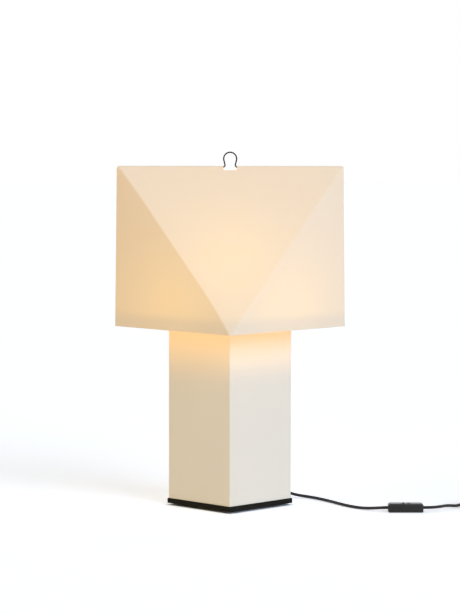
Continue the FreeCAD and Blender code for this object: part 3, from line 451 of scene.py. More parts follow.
def coilRoute(settings):
    total = settings["turnsPerLayer"] * settings["layers"]
    count = round(total * settings["pointsPerTurn"])
    return [coilPoint(total * index / count, settings) for index in range(count + 1)]


def splineLine(name, route):
    # smooth line through the route, as a dense list of points in metres
    curve = bpy.data.curves.new(name, "CURVE")
    curve.dimensions = "3D"
    curve.resolution_u = 12
    spline = curve.splines.new("NURBS")
    spline.points.add(len(route) - 1)
    for point, corner in zip(spline.points, route):
        point.co = (*(v * mm for v in corner), 1)
    spline.order_u = 3
    spline.use_endpoint_u = True
    guide = newObject(name, curve)
    depsgraph = bpy.context.evaluated_depsgraph_get()
    mesh = bpy.data.meshes.new_from_object(guide.evaluated_get(depsgraph), depsgraph=depsgraph)
    points = [vertex.co.copy() for vertex in mesh.vertices]
    bpy.data.objects.remove(guide)
    bpy.data.meshes.remove(mesh)
    kept = [points[0]]
    for point in points[1:]:
        if (point - kept[-1]).length > 1e-6:
            kept.append(point)
    return kept


def evenly(points, step):
    # the same line with points a step apart
    lengths = [0.0]
    for before, here in zip(points, points[1:]):
        lengths.append(lengths[-1] + (here - before).length)
    count = max(2, round(lengths[-1] / step))
    placed = []
    index = 0
    for number in range(count + 1):
        target = lengths[-1] * number / count
        while index < len(lengths) - 2 and lengths[index + 1] < target:
            index += 1
        share = (target - lengths[index]) / (lengths[index + 1] - lengths[index])
        placed.append(points[index].lerp(points[index + 1], share))
    return placed, lengths[-1]


def tubeAlong(name, points, radius, sides, closed=False, normal=None):
    # round tube with UVs: U runs once round, V is the length in metres
    bm = bmesh.new()
    uvLayer = bm.loops.layers.uv.new("along")
    ends = (0, len(points) - 1)
    rings, travelled = [], [0.0]
    for index, point in enumerate(points):
        before = points[index - 1] if closed or index != ends[0] else point
        after = points[(index + 1) % len(points)] if closed or index != ends[1] else point
        along = (after - before).normalized()
        if normal is None:
            normal = along.orthogonal()
        normal = (normal - along * normal.dot(along)).normalized()
        basis = Matrix((normal, along.cross(normal), along)).transposed().to_4x4()
        basis.translation = point
        ring = bmesh.ops.create_circle(bm, cap_ends=False, radius=radius, segments=sides, matrix=basis)
        rings.append(ring["verts"])
        travelled.append(travelled[-1] + (points[(index + 1) % len(points)] - point).length)
    rows = list(zip(rings, rings[1:] + rings[:1]))
    for row, (lower, upper) in enumerate(rows if closed else rows[:-1]):
        for number in range(sides):
            following = (number + 1) % sides
            face = bm.faces.new((lower[number], lower[following], upper[following], upper[number]))
            face.smooth = True
            around = (number, number + 1, number + 1, number)
            ahead = (travelled[row], travelled[row], travelled[row + 1], travelled[row + 1])
            for loop, u, v in zip(face.loops, around, ahead):
                loop[uvLayer].uv = (u / sides, v)
    if not closed:
        bm.faces.new(list(reversed(rings[0])))
        bm.faces.new(rings[-1])
    bmesh.ops.recalc_face_normals(bm, faces=bm.faces)
    return objectFromBmesh(name, bm)


def cordTube(name, path):
    return tubeAlong(name, path, cordSettings["diameter"] / 2, cordSettings["sides"])


def runOn(before, end, length):
    # a point straight on past the end of a line
    return end + (end - before).normalized() * length


def makeCordMaterial(settings):
    # round textile sleeve: two families of threads cross at a slant
    material, tree, shader, _ = startMaterial("cordBraid")
    uv = addNode(tree, "ShaderNodeUVMap", -1300, -300, uv_map="along")
    split = splitVector(tree, -1100, -300, uv.outputs["UV"])
    half = settings["threads"] / 2
    around = mathNode(tree, "MULTIPLY", -950, -200, split["X"], half)
    ahead = mathNode(tree, "MULTIPLY", -950, -400, split["Y"], half / settings["pitch"])
    waves = []
    for sign, y in ((1, 0), (-1, -200)):
        slant = mathNode(tree, "MULTIPLY_ADD", -780, y, ahead, sign, around)
        turn = mathNode(tree, "MULTIPLY", -620, y, slant, math.tau)
        waves.append(mathNode(tree, "SINE", -480, y, turn))
    top = mathNode(tree, "MAXIMUM", -340, 0, *waves)
    low = mathNode(tree, "MULTIPLY", -340, -200, *waves)
    height = mathNode(tree, "MULTIPLY_ADD", -200, -100, low, settings["sink"], top)
    # painted shade: the colour darkens where the threads sink between crossings
    tone = mathNode(tree, "MULTIPLY_ADD", -60, 100, height, *settings["dipShade"])
    feedAll(tree, shader, {
        "Base Color": mixColors(tree, 100, 200, tone, settings["dark"], settings["light"]),
        "Roughness": settings["rough"],
        "Sheen Weight": settings["sheen"], "Sheen Roughness": settings["sheenRough"],
    })
    bumpInto(tree, shader, height, *settings["bump"])
    return material


cordMaterial = makeCordMaterial(cordSettings)

nearPath, nearLength = evenly(splineLine("nearLine", nearRoute), cordSettings["step"])
nearCord = cordTube("cordToSwitch", nearPath)

coilPoints = coilRoute(coilSettings)
leadStart = runOn(coilPoints[1], coilPoints[0], coilSettings["leadRun"])
leaveEnd = runOn(coilPoints[-2], coilPoints[-1], coilSettings["leaveRun"])
farPoints = farRoute + [leadStart, *coilPoints, leaveEnd] + tailRoute
farPath, farLength = evenly(splineLine("farLine", farPoints), cordSettings["farStep"])
farCord = cordTube("cordAndCoil", farPath)
finishAll(
    (nearCord, cordMaterial, "lamp", "cord_black", "cord_to_switch"),
    (farCord, cordMaterial, "lamp", "cord_black", "cord_from_switch", "cord_coil", "cord_tail"),
)
print("cords laid:", round(nearLength, 4), round(farLength, 4), "m")


# the shade: one sheet, folded to six facets and turned in along its lower edge

shadeSettings = {
    "sheet": 0.45 * mm,
    "foldGap": 0.56 * mm,  # middle of the outer sheet to the middle of the hem
    "crease": 2.2 * mm,
    "hem": 22.0 * mm,
    "notchHalf": 11.7 * mm,
    "notchDepth": 8.8 * mm,
    "notchRadii": (1.0 * mm, 3.0 * mm),  # left and right lower corners
    "ridgeHalf": 195.6 * mm,
    "spare": 15.0 * mm,
    "bow": 5.6 * mm,  # how far the left front crease stands off the straight line
    "bowFrom": 0.17,  # share of the shade's height at which it stands off in full
    "bowRows": 10,
    "foldAngle": 15.0,  # degrees; sharper folds are creased, and the bowed facets' own are not
    "cutterDepth": 0.12,
    "cutterRise": 0.01,
}


def bowCrease(bm, low, high, settings):
    # rows across the facets, closer at both ends, and their points on the crease moved aside
    for row in range(2, settings["bowRows"]):
        step = row / settings["bowRows"]
        height = low.z + (high.z - low.z) * step * step * (3 - 2 * step)
        cutAcross(bm, height)
    for vert in bm.verts:
        share = (vert.co.z - low.z) / (high.z - low.z)
        if 0.001 < share < 0.999 and (vert.co - low.lerp(high, share)).length < 1e-5:
            vert.co.x += settings["bow"] * min(1.0, share / settings["bowFrom"])


def shadeSheet(settings):
    # six folded facets, made longer than the sheet and cut off along its lower edge
    low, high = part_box("shade_paper")
    bottom, top, reach = low.z, high.z, high.x
    ends = [Vector((side * settings["ridgeHalf"], 0, top)) for side in (-1, 1)]
    front = Vector((0, -reach, bottom))
    sides = [Vector((side * reach, 0, bottom)) for side in (-1, 1)]
    longer = 1 + settings["spare"] / (top - bottom)
    sides = [end.lerp(corner, longer) for end, corner in zip(ends, sides)]
    normals = [(corner - end).cross(front - end) for end, corner in zip(ends, sides)]
    slope = normals[0].cross(normals[1])
    frontLow = front - slope * (settings["spare"] / slope.z)
    bm = bmesh.new()
    ridge = [bm.verts.new(end) for end in ends]
    outer = [bm.verts.new(corner) for corner in sides]
    for turn in (1, -1):
        corner = bm.verts.new((0, turn * front.y, front.z))
        lowCorner = bm.verts.new((0, turn * frontLow.y, frontLow.z))
        bm.faces.new((ridge[0], corner, ridge[1]))
        for end, side in zip(ridge, outer):
            bm.faces.new((end, side, lowCorner, corner))
    bmesh.ops.recalc_face_normals(bm, faces=bm.faces)
    bowCrease(bm, front, ends[0], settings)
    shrink(bm.verts, settings["sheet"] / 2)
    creases = [e for e in bm.edges if e.calc_face_angle(0) > math.radians(settings["foldAngle"])]
    bevelEdges(bm, creases, settings["crease"], 4)
    cutAcross(bm, bottom + settings["sheet"] / 2, inner=True)
    cutAcross(bm, bottom + settings["hem"])
    return bm, bottom, top


def shrink(verts, distance):
    # every vertex moves in so that its faces move in by the distance
    moved = []
    for vert in verts:
        vert.normal_update()
    for vert in verts:
        moved.append((vert, vert.normal * distance * vert.calc_shell_factor()))
    for vert, step in moved:
        vert.co -= step


def addHem(bm, settings, bottom):
    # the same sheet, turned in and up along its lower edge
    hemTop = bottom + settings["hem"] + 1e-5
    middle = bottom + settings["hem"] / 2
    lower = [f for f in bm.faces if all(v.co.z < hemTop for v in f.verts)]
    outerEdges = [e for e in bm.edges if e.is_boundary]
    copy = bmesh.ops.duplicate(bm, geom=lower)
    hemFaces = elementsOf(copy, bmesh.types.BMFace)
    hemVerts = elementsOf(copy, bmesh.types.BMVert)
    shrink(hemVerts, settings["foldGap"])
    for vert in hemVerts:
        if vert.co.z < middle:
            vert.co.z = bottom + settings["sheet"] / 2
    # a dictionary keeps the edges in order, which a set doesn't
    hemEdges = dict.fromkeys(e for f in hemFaces for e in f.edges if e.is_boundary)
    lowEdges = [e for e in hemEdges if all(v.co.z < middle for v in e.verts)]
    bmesh.ops.reverse_faces(bm, faces=hemFaces)
    for face in hemFaces:
        face.material_index = 1
    bmesh.ops.bridge_loops(bm, edges=outerEdges + lowEdges)


def makeNotchCutter(settings, top):
    low = top - settings["notchDepth"]
    high = top + settings["cutterRise"]
    bm = bmesh.new()
    size = Matrix.Diagonal((2 * settings["notchHalf"], settings["cutterDepth"], high - low, 1))
    shift = Matrix.Translation((0, 0, (low + high) / 2))
    bmesh.ops.create_cube(bm, size=1, matrix=shift @ size)
    for sign, radius in zip((-1, 1), settings["notchRadii"]):
        corner = [
            e for e in bm.edges
            if all(v.co.z < low + 1e-5 and v.co.x * sign > settings["notchHalf"] - 1e-5 for v in e.verts)
        ]
        bevelEdges(bm, corner, radius, 8)
    return objectFromBmesh("notchCutter", bm)


def makeShade(settings):
    bm, bottom, top = shadeSheet(settings)
    addHem(bm, settings, bottom)
    shade = objectFromBmesh("foldedShade", bm)
    paper = wallModifier(shade, settings["sheet"], 0)
    paper.use_even_offset = True
    paper.material_offset = 1
    paper.material_offset_rim = 1
    bakeModifiers(shade)
    cutWith(shade, makeNotchCutter(settings, top), "DIFFERENCE")
    smoothByAngle(shade.data, 20)
    return shade


paperSettings = {
    "outer": (0.92, 0.88, 0.82, 1),
    "outerShade": (0.90, 0.855, 0.78, 1),
    "inner": (0.88, 0.84, 0.76, 1),
    "fibreScale": 420.0,
    "cloudScale": 26.0,
    "cloudTone": (1.6, -0.3),  # how the clouds turn the outer colour to its shade
    "cloudGlow": (0.22, 0.89),  # how clouds and fibres vary the glow
    "fibreGlow": (0.10, 0.94),
    # painted glow of the lamp through the paper, set as emission
    "glowRest": (0.115, 0.045, 0.006, 1),
    "glowDirect": (0.19, 0.10, 0.0, 1),
    "wallDistance": 0.142,  # bulb to the middle of a facet
    "falloff": 3.0,
    "hemDim": 0.5,
    "hemBlur": 0.010,
    "wireShadowReach": (0.0007, 0.0034),  # the wire in the folds casts a painted shadow in the glow from here to here
    "wireShadowDim": 0.62,
    "rough": 0.9,
    "specular": 0.15,
    "bump": (0.25, 8e-5),  # strength and depth
}


def makePaperGroup():
    # long fibres over a cloudy sheet
    group, given, end = makeGroup(
        "paperFibre", {"Vector": None, "Fibre Scale": 400.0, "Cloud Scale": 25.0},
        ("Fibre", "Cloud", "Height"),
    )
    fibres = None
    for index, turn in enumerate((0.4, 1.5, 2.6)):
        y = 300 - 250 * index
        stretched = mapped(group, -700, y, given["Vector"], (0.12, 1, 1), (0.3 * index, turn, turn))
        strand = noise(group, -500, y, stretched, given["Fibre Scale"], 2.0)
        fibres = strand if fibres is None else mathNode(group, "MAXIMUM", -300, y, fibres, strand)
    cloud = noise(group, -500, -500, given["Vector"], given["Cloud Scale"], 5.0, 0.62)
    feedAll(group, end, {
        "Fibre": fibres, "Cloud": cloud,
        "Height": mathNode(group, "MULTIPLY_ADD", 0, 0, cloud, 0.4, fibres),
    })
    return group


paperFibre = makePaperGroup()


def startPaper(name, settings):
    # what both sides of the paper share
    material, tree, shader, vector = startMaterial(name)
    fibre = groupNode(tree, paperFibre, {
        "Vector": vector, "Fibre Scale": settings["fibreScale"], "Cloud Scale": settings["cloudScale"],
    })
    feedAll(tree, shader, {"Roughness": settings["rough"], "Specular IOR Level": settings["specular"]})
    bumpInto(tree, shader, fibre["Height"], *settings["bump"])
    return material, tree, shader, vector, fibre


def makePaperOuter(settings):
    # paper that the lamp shines through, as a painted glow in its emission: brightest where it is nearest
    # the bulb
    material, tree, shader, vector, fibre = startPaper("shadePaperOuter", settings)
    tone = mathNode(tree, "MULTIPLY_ADD", -780, 300, fibre["Cloud"], *settings["cloudTone"])

    globeLow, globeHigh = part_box("bulb_globe")
    ends = {0: vector, 1: (globeLow + globeHigh) / 2}
    away = addNode(tree, "ShaderNodeVectorMath", -1000, -100, ends, operation="DISTANCE")
    nearness = mathNode(tree, "DIVIDE", -820, -100, settings["wallDistance"], away.outputs["Value"])
    direct = mathNode(tree, "POWER", -660, -100, nearness, settings["falloff"])

    # painted shade in the glow: the doubled hem and the wire in the side folds let less light through
    split = splitVector(tree, -1000, -350, vector)
    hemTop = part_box("shade_paper")[0].z + shadeSettings["hem"]
    aboveHem = mathNode(tree, "SUBTRACT", -820, -350, split["Z"], hemTop)
    hemStep = mathNode(tree, "DIVIDE", -660, -350, aboveHem, settings["hemBlur"])
    hemShare = rangeNode(tree, -500, -350, hemStep, -1.0, 1.0, settings["hemDim"])
    aside = mathNode(tree, "ABSOLUTE", -820, -850, split["Y"])
    wireShadowShare = rangeNode(tree, -500, -850, aside, *settings["wireShadowReach"], settings["wireShadowDim"])

    mottled = mathNode(tree, "MULTIPLY_ADD", -500, -550, fibre["Cloud"], *settings["cloudGlow"])
    fibrous = mathNode(tree, "MULTIPLY_ADD", -500, -700, fibre["Fibre"], *settings["fibreGlow"])
    texture = mathNode(tree, "MULTIPLY", -340, -600, mottled, fibrous)
    dimmed = mathNode(tree, "MULTIPLY", -340, -450, texture, hemShare)
    level = mathNode(tree, "MULTIPLY", -180, -450, dimmed, wireShadowShare)
    grey = addNode(tree, "ShaderNodeCombineColor", -40, -500, {0: level, 1: level, 2: level})

    glow = mixColors(tree, -340, -150, direct, (0, 0, 0, 1), settings["glowDirect"])
    total = mixColors(tree, -180, -200, 1.0, glow, settings["glowRest"], "ADD")
    feedAll(tree, shader, {
        "Base Color": mixColors(tree, -560, 300, tone, settings["outer"], settings["outerShade"]),
        "Emission Color": mixColors(tree, 0, -300, 1.0, total, grey.outputs[0], "MULTIPLY"),
        "Emission Strength": 1.0,
    })
    return material


def makePaperInner(settings):
    material, tree, shader, _, fibre = startPaper("shadePaperInner", settings)
    color = mixColors(tree, -560, 300, fibre["Cloud"], settings["inner"], settings["outerShade"])
    feed(tree, shader.inputs["Base Color"], color)
    return material


shade = makeShade(shadeSettings)
setMaterial(shade, makePaperOuter(paperSettings), makePaperInner(paperSettings))
place(shade, "shade", "shade_paper", "shade_paper")
print("shade folded:", len(shade.data.polygons), "faces")


# column and base

columnFinish = {
    "color": (0.93, 0.92, 0.89), "tone": (0.90, 0.885, 0.85), "scale": 1500.0,
    "rough": 0.62, "spread": 0.08, "bump": 0.18, "depth": 4e-5, "amount": 0.5,
}
baseFinish = {
    "color": (0.0165, 0.0165, 0.0155), "tone": (0.032, 0.031, 0.028), "scale": 1400.0,
    "rough": 0.7, "spread": 0.15, "bump": 0.25, "depth": 4e-5, "amount": 0.8, "specular": 0.02,
}
columnGlow = {
    "color": (0.44, 0.19, 0.005),  # painted light: what the lit paper throws back on the column's top
    "from": 0.212,
    "to": 0.318,
}


# painted light on the column's top: emission that fades out downwards
def addColumnGlow(material, settings):
    tree = material.node_tree
    split = splitVector(tree, -700, -600, tree.nodes["Texture Coordinate"].outputs["Object"])
    share = rangeNode(tree, -500, -600, split["Z"], settings["from"], settings["to"])
    glow = mixColors(tree, -300, -600, share, (0, 0, 0, 1), (*settings["color"], 1))
    feedAll(tree, tree.nodes["Principled BSDF"], {"Emission Color": glow, "Emission Strength": 1.0})


columnPaint = grainMaterial("columnPowderCoat", columnFinish)
addColumnGlow(columnPaint, columnGlow)
basePaint = grainMaterial("baseSatinBlack", baseFinish)
finishAll(
    (dressed("column_sleeve", 0.25 * mm), columnPaint, "lamp", "column_paint", "column_sleeve"),
    (dressed("base_plate", 0.15 * mm), basePaint, "lamp", "base_black", "base_plate"),
)
print("column and base finished")


# the shade's wires

wireSettings = {
    "diameter": 2.4 * mm,
    "paper": 0.5 * mm,
    "gap": 0.3 * mm,
    "sides": 16,
    "ridgeBend": 6.0 * mm,
    "loopRise": 25.7 * mm,  # ridge wire to the top of the loop
    "loopRadius": 11.1 * mm,
    "loopNeck": 8.9 * mm,
    "footRadius": 4.0 * mm,
    "ringLift": 0.4 * mm,
    "ringBend": 3.0 * mm,
    "armDiameter": 1.8 * mm,
    "legX": 101.8 * mm,
    "legLength": 13.0 * mm,
    "legBend": 2.2 * mm,
    "weld": 1.5 * mm,
    "weldSpread": (1.5, 1.0, 0.75, 1),
}


def roundedLine(corners, bend, closed=False, steps=8):
    # the same line with an arc of one radius at each corner
    line = []
    for index, here in enumerate(corners):
        if not closed and index in (0, len(corners) - 1):
            line.append(here)
            continue
        into = (here - corners[index - 1]).normalized()
        out = (corners[(index + 1) % len(corners)] - here).normalized()
        half = into.angle(out) / 2
        start = here - into * bend * math.tan(half)
        centre = here + (out - into).normalized() * bend / math.cos(half)
        for step in range(steps + 1):
            turn = Matrix.Rotation(2 * half * step / steps, 3, into.cross(out))
            line.append(centre + turn @ (start - centre))
    return line


def arcLine(centre, radius, start, end, steps=24):
    # points on a circle that stands in the XZ plane; angles in radians
    line = []
    for step in range(steps + 1):
        angle = start + (end - start) * step / steps
        line.append(centre + Vector((math.cos(angle), 0, math.sin(angle))) * radius)
    return line


def loopWireLine(settings):
    # the right half from the loop's top to the ring, and the same mirrored
    low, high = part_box("shade_paper")
    nest = settings["paper"] + settings["gap"] + settings["diameter"] / 2
    wireZ = high.z - nest / math.sin(math.atan2(high.x, high.z - low.z))
    loopCentre = Vector((0, 0, wireZ + settings["loopRise"] - settings["loopRadius"]))
    footX = settings["loopNeck"] + settings["footRadius"]
    footCentre = Vector((footX, 0, wireZ + settings["footRadius"]))
    apart = footCentre - loopCentre
    lean = math.acos((settings["loopRadius"] + settings["footRadius"]) / apart.length)
    touch = math.atan2(apart.z, apart.x) + lean
    right = arcLine(loopCentre, settings["loopRadius"], math.pi / 2, touch)
    right += arcLine(footCentre, settings["footRadius"], touch + math.pi, 1.5 * math.pi, 10)
    inset = math.sqrt(2) * (nest + settings["paper"])
    ridgeEnd = Vector((shadeSettings["ridgeHalf"] - inset, 0, wireZ))
    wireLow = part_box("loop_wire")[0].z
    share = (high.z - wireLow) / (high.z - low.z)
    sideX = shadeSettings["ridgeHalf"] + (high.x - shadeSettings["ridgeHalf"]) * share - inset
    right += roundedLine([right.pop(), ridgeEnd, Vector((sideX, 0, wireLow))], settings["ridgeBend"])
    left = [Vector((-point.x, 0, point.z)) for point in reversed(right)]
    return left + right[1:]


def makeLoopWire(settings):
    return tubeAlong(
        "loopWire", loopWireLine(settings), settings["diameter"] / 2, settings["sides"],
        normal=Vector((0, 1, 0)),
    )


def makeRingFrame(settings):
    # square ring, four arms welded to its corners, their legs bent down into the column
    low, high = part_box("shade_paper")
    ringZ = low.z + settings["ringLift"] + settings["diameter"] / 2
    nest = 2 * settings["paper"] + settings["gap"] + settings["diameter"] / 2
    reach = high.x - math.sqrt(2) * nest
    up = Vector((0, 0, 1))
    corners = [Vector((reach, 0, ringZ)), Vector((0, reach, ringZ))]
    corners += [Vector((-reach, 0, ringZ)), Vector((0, -reach, ringZ))]
    ring = roundedLine(corners, settings["ringBend"], closed=True)
    parts = [tubeAlong("ring", ring, settings["diameter"] / 2, settings["sides"], closed=True, normal=up)]
    start = reach - settings["ringBend"] * (math.sqrt(2) - 1)
    for quarter in range(4):
        turn = Matrix.Rotation(math.radians(90 * quarter), 4, "Z")
        leg = [
            Vector((start, 0, ringZ)), Vector((settings["legX"], 0, ringZ)),
            Vector((settings["legX"], 0, ringZ - settings["legLength"])),
        ]
        line = [turn @ point for point in roundedLine(leg, settings["legBend"])]
        arm = tubeAlong("arm", line, settings["armDiameter"] / 2, settings["sides"], normal=turn @ up)
        parts.append(arm)
        bead = bmesh.new()
        spread = Matrix.Diagonal(settings["weldSpread"])
        seat = Matrix.Translation((start - settings["weld"], 0, ringZ + settings["armDiameter"] / 3))
        bmesh.ops.create_icosphere(
            bead, subdivisions=3, radius=settings["weld"], matrix=turn @ seat @ spread,
        )
        for face in bead.faces:
            face.smooth = True
        parts.append(objectFromBmesh("weldBead", bead))
    return joined("ringFrame", *parts)


# finishes of the small pieces

def makePlating():
    # drawn or plated metal: fine lines along one direction over faint clouds
    group, given, end = makeGroup(
        "platedMetal",
        {
            "Vector": None, "Scale": 300.0, "Color": (0.6, 0.6, 0.6, 1),
            "Tarnish": (0.4, 0.4, 0.4, 1), "Roughness": 0.3,
        },
        ("Color", "Roughness", "Height"),
    )
    stretched = mapped(group, -700, 200, given["Vector"], (1, 1, 14))
    lines = noise(group, -500, 200, stretched, given["Scale"], 4.0, 0.65)
    slowScale = mathNode(group, "MULTIPLY", -700, -100, given["Scale"], 0.2)
    clouds = noise(group, -500, -100, given["Vector"], slowScale, 4.0)
    stain = rangeNode(group, -300, -100, clouds, 0.48, 0.85, kind="LINEAR")
    rubbed = mathNode(group, "MULTIPLY_ADD", -150, -250, lines, 0.18, given["Roughness"])
    feedAll(group, end, {
        "Color": mixColors(group, 0, 100, stain, given["Color"], given["Tarnish"]),
        "Roughness": mathNode(group, "MULTIPLY_ADD", 50, -250, stain, 0.25, rubbed),
        "Height": lines,
    })
    return group


platedMetal = makePlating()


def metalMaterial(name, color, tarnish, rough, scale=300.0):
    material, tree, shader, vector = startMaterial(name)
    skin = groupNode(tree, platedMetal, {
        "Vector": vector, "Scale": scale, "Color": (*color, 1), "Tarnish": (*tarnish, 1),
        "Roughness": rough,
    })
    feedAll(tree, shader, {
        "Base Color": skin["Color"], "Roughness": skin["Roughness"], "Metallic": 1.0,
    })
    bumpInto(tree, shader, skin["Height"], 0.12, 3e-5)
    return material


finishes = {
    "wireBlack": {
        "color": (0.010, 0.010, 0.011), "tone": (0.03, 0.03, 0.03), "scale": 2200.0,
        "rough": 0.5, "bump": 0.15, "specular": 0.2,
    },
    "glandBlack": {
        "color": (0.014, 0.014, 0.014), "tone": (0.035, 0.035, 0.035), "scale": 2600.0,
        "rough": 0.6, "bump": 0.3, "specular": 0.3,
    },
    "rubberPad": {
        "color": (0.03, 0.03, 0.03), "tone": (0.06, 0.058, 0.055), "scale": 1800.0,
        "rough": 0.85, "bump": 0.5, "specular": 0.2,
    },
    "holderWhite": {
        "color": (0.80, 0.785, 0.75), "tone": (0.70, 0.68, 0.64), "scale": 1200.0,
        "rough": 0.42, "bump": 0.12, "amount": 0.4,
    },
    "bulbCollar": {
        "color": (0.84, 0.83, 0.80), "tone": (0.76, 0.75, 0.71), "scale": 1600.0,
        "rough": 0.35, "bump": 0.08, "amount": 0.4,
    },
    "darkGlass": {
        "color": (0.02, 0.02, 0.025), "tone": (0.05, 0.045, 0.05), "scale": 500.0,
        "rough": 0.16, "bump": 0.1, "coat": 0.4,
    },
    "switchShell": {
        "color": (0.009, 0.009, 0.0105), "tone": (0.016, 0.016, 0.019), "scale": 3000.0,
        "rough": 0.4, "bump": 0.2, "specular": 0.35,
    },
    "rockerGloss": {
        "color": (0.006, 0.006, 0.006), "tone": (0.012, 0.012, 0.012), "scale": 1500.0,
        "rough": 0.18, "bump": 0.05, "coat": 0.3,
    },
    "plugBlack": {
        "color": (0.012, 0.012, 0.012), "tone": (0.03, 0.03, 0.03), "scale": 2400.0,
        "rough": 0.5, "bump": 0.3, "specular": 0.35,
    },
    "strapBlack": {
        "color": (0.012, 0.012, 0.013), "tone": (0.07, 0.07, 0.075), "scale": 1900.0,
        "rough": 0.9, "bump": 0.9, "depth": 2.5e-4, "amount": 0.9, "specular": 0.15,
    },
}
paints = {name: grainMaterial(name, finish) for name, finish in finishes.items()}
zinc = metalMaterial("zincPlate", (0.62, 0.62, 0.64), (0.46, 0.46, 0.47), 0.32)
brass = metalMaterial("plainBrass", (0.78, 0.58, 0.27), (0.50, 0.33, 0.14), 0.28)
capMetal = metalMaterial("bulbCapMetal", (0.78, 0.78, 0.79), (0.60, 0.60, 0.60), 0.24)
nickel = metalMaterial("pinNickel", (0.76, 0.74, 0.71), (0.58, 0.56, 0.52), 0.16, 500.0)

finishAll(
    (makeLoopWire(wireSettings), paints["wireBlack"], "shade", "wire_black", "loop_wire"),
    (makeRingFrame(wireSettings), paints["wireBlack"], "shade", "wire_black", "ring_frame"),
)

# node: finish, slot and how far its edges are eased, in mm
plainPieces = {
    "base_screws": (zinc, "steel", 0.2),
    "corner_blocks": (zinc, "steel", 0.5),
    "holder_plate_blocks": (zinc, "steel", 0.5),
    "holder_plate": (zinc, "steel", 0.3),
    "holder_plate_screws": (zinc, "steel", 0.3),
    "nipple_washer": (zinc, "steel", 0.2),
    "nipple_nut": (brass, "brass", 0.4),
    "holder_dome": (paints["holderWhite"], "holder_white", 0.5),
    "holder_core": (paints["holderWhite"], "holder_white", 0.3),
    "holder_contact": (brass, "brass", 0.1),
    "gland_nut": (paints["glandBlack"], "gland_black", 0.3),
    "cord_clamp": (paints["glandBlack"], "gland_black", 0.5),
    "clamp_screws": (zinc, "steel", 0.2),
    "switch_pivot": (zinc, "steel", 0.15),
    "switch_screws": (zinc, "steel", 0.15),
    "switch_terminals": (brass, "brass", 0.3),
}
for node, (material, slotName, ease) in plainPieces.items():
    finishAll((dressed(node, ease * mm), material, "lamp", slotName, node))
print("wires and small pieces made:", len(plainPieces) + 2)


# lampholder and bulb

def threaded(name, crest, root, pitch, low, high, wall, steps=36):
    # rolled thread: one pitch of a wave, screwed up and cut off square at both ends
    bm = bmesh.new()
    middle, swing = (crest + root) / 2, (crest - root) / 2
    points = []
    for number in range(9):
        share = number / 8
        radius = middle + swing * math.cos(math.tau * share)
        points.append((radius * mm, 0, (low + pitch * (share - 1)) * mm))
    verts, edges = chain(bm, points)
    turns = math.ceil((high - low) / pitch) + 2
    bmesh.ops.spin(
        bm, geom=verts + edges, cent=(0, 0, 0), axis=(0, 0, 1), dvec=(0, 0, pitch * mm / steps),
        angle=math.tau * turns, steps=steps * turns, use_merge=False,
    )
    bmesh.ops.remove_doubles(bm, verts=bm.verts, dist=1e-6)
    for height, facing in ((low, -1), (high, 1)):
        cutAcross(bm, height * mm, facing, outer=True)
    bmesh.ops.recalc_face_normals(bm, faces=bm.faces)
    sleeve = objectFromBmesh(name, bm)
    wallModifier(sleeve, wall * mm)
    bakeModifiers(sleeve)
    smoothByAngle(sleeve.data, 40)
    return sleeve


def turned(name, profile, ease=0.0, smooth=30, steps=96):
    # lathe-turned piece from a closed (radius, z) profile in mm
    piece = spun(name, profile + profile[:1], steps)
    if ease:
        bevelModifier(piece, ease * mm, 3, 40)
        bakeModifiers(piece)
    smoothByAngle(piece.data, smooth)
    return piece


holderSettings = {
    "skirt": ((18.0, 262.0), (19.15, 262.0), (19.15, 290.2), (19.3, 291.4), (18.6, 292.0), (15.2, 292.0),
              (15.0, 291.2), (15.2, 290.0), (17.2, 290.0), (18.0, 289.0)),
    "skirtThread": (20.0, 19.0, 2.6, 265.0, 287.5, 0.7),  # crest, root, pitch, low, high, wall
    "skirtCollar": ((19.0, 262.0), (20.0, 262.0), (20.0, 265.2), (19.0, 265.2)),
    "skirtRim": ((19.0, 287.3), (20.0, 287.3), (20.0, 291.2), (19.2, 292.0), (18.6, 292.0)),
    "sleeve": (14.35, 13.5, 3.62, 265.2, 287.0, 0.35),
    "sleeveFoot": ((13.95, 263.0), (14.4, 263.0), (14.4, 265.4), (13.95, 265.4)),
    "sleeveTop": ((13.95, 286.8), (14.4, 286.8), (14.4, 288.7), (13.95, 288.7)),
    "nippleThread": (5.0, 4.65, 1.0, 227.0, 251.0, 0.5),
    "nippleTube": ((3.6, 227.0), (4.62, 227.0), (4.62, 251.0), (3.6, 251.0)),
}
bulbSettings = {
    "capThread": (13.1, 12.1, 3.62, 273.0, 285.8, 0.35),
    "capFoot": ((10.9, 270.6), (11.9, 270.6), (13.1, 271.8), (13.1, 273.2), (12.7, 273.2), (12.6, 272.1),
                (11.7, 271.1), (10.9, 271.0)),
    "capCollar": ((12.7, 285.6), (13.1, 285.6), (13.1, 288.7), (12.7, 288.7)),
    "insulator": ((0, 267.6), (5.1, 267.6), (6.2, 267.7), (9.0, 268.6), (11.3, 269.9), (11.9, 270.6),
                  (0, 270.6)),
    "tip": ((0, 265.9), (2.2, 265.95), (3.6, 266.25), (4.35, 266.9), (4.5, 267.6), (0, 267.6)),
    "housing": ((0, 288.7), (12.9, 288.7), (13.5, 289.3), (13.5, 296.6), (13.2, 296.9), (13.2, 297.3),
                (13.5, 297.6), (13.6, 300.0), (14.1, 303.6), (15.0, 307.1), (16.3, 310.6), (18.1, 314.3),
                (19.9, 317.2), (20.4, 317.7), (0, 317.7)),
    "globeWall": 1.2,
    "globeSteps": 40,
    "globeColor": (0.93, 0.91, 0.86),
    "globeTone": (0.88, 0.85, 0.78),
    "glow": (1.0, 0.80, 0.50, 1),
    "glowLevel": 0.7,
}


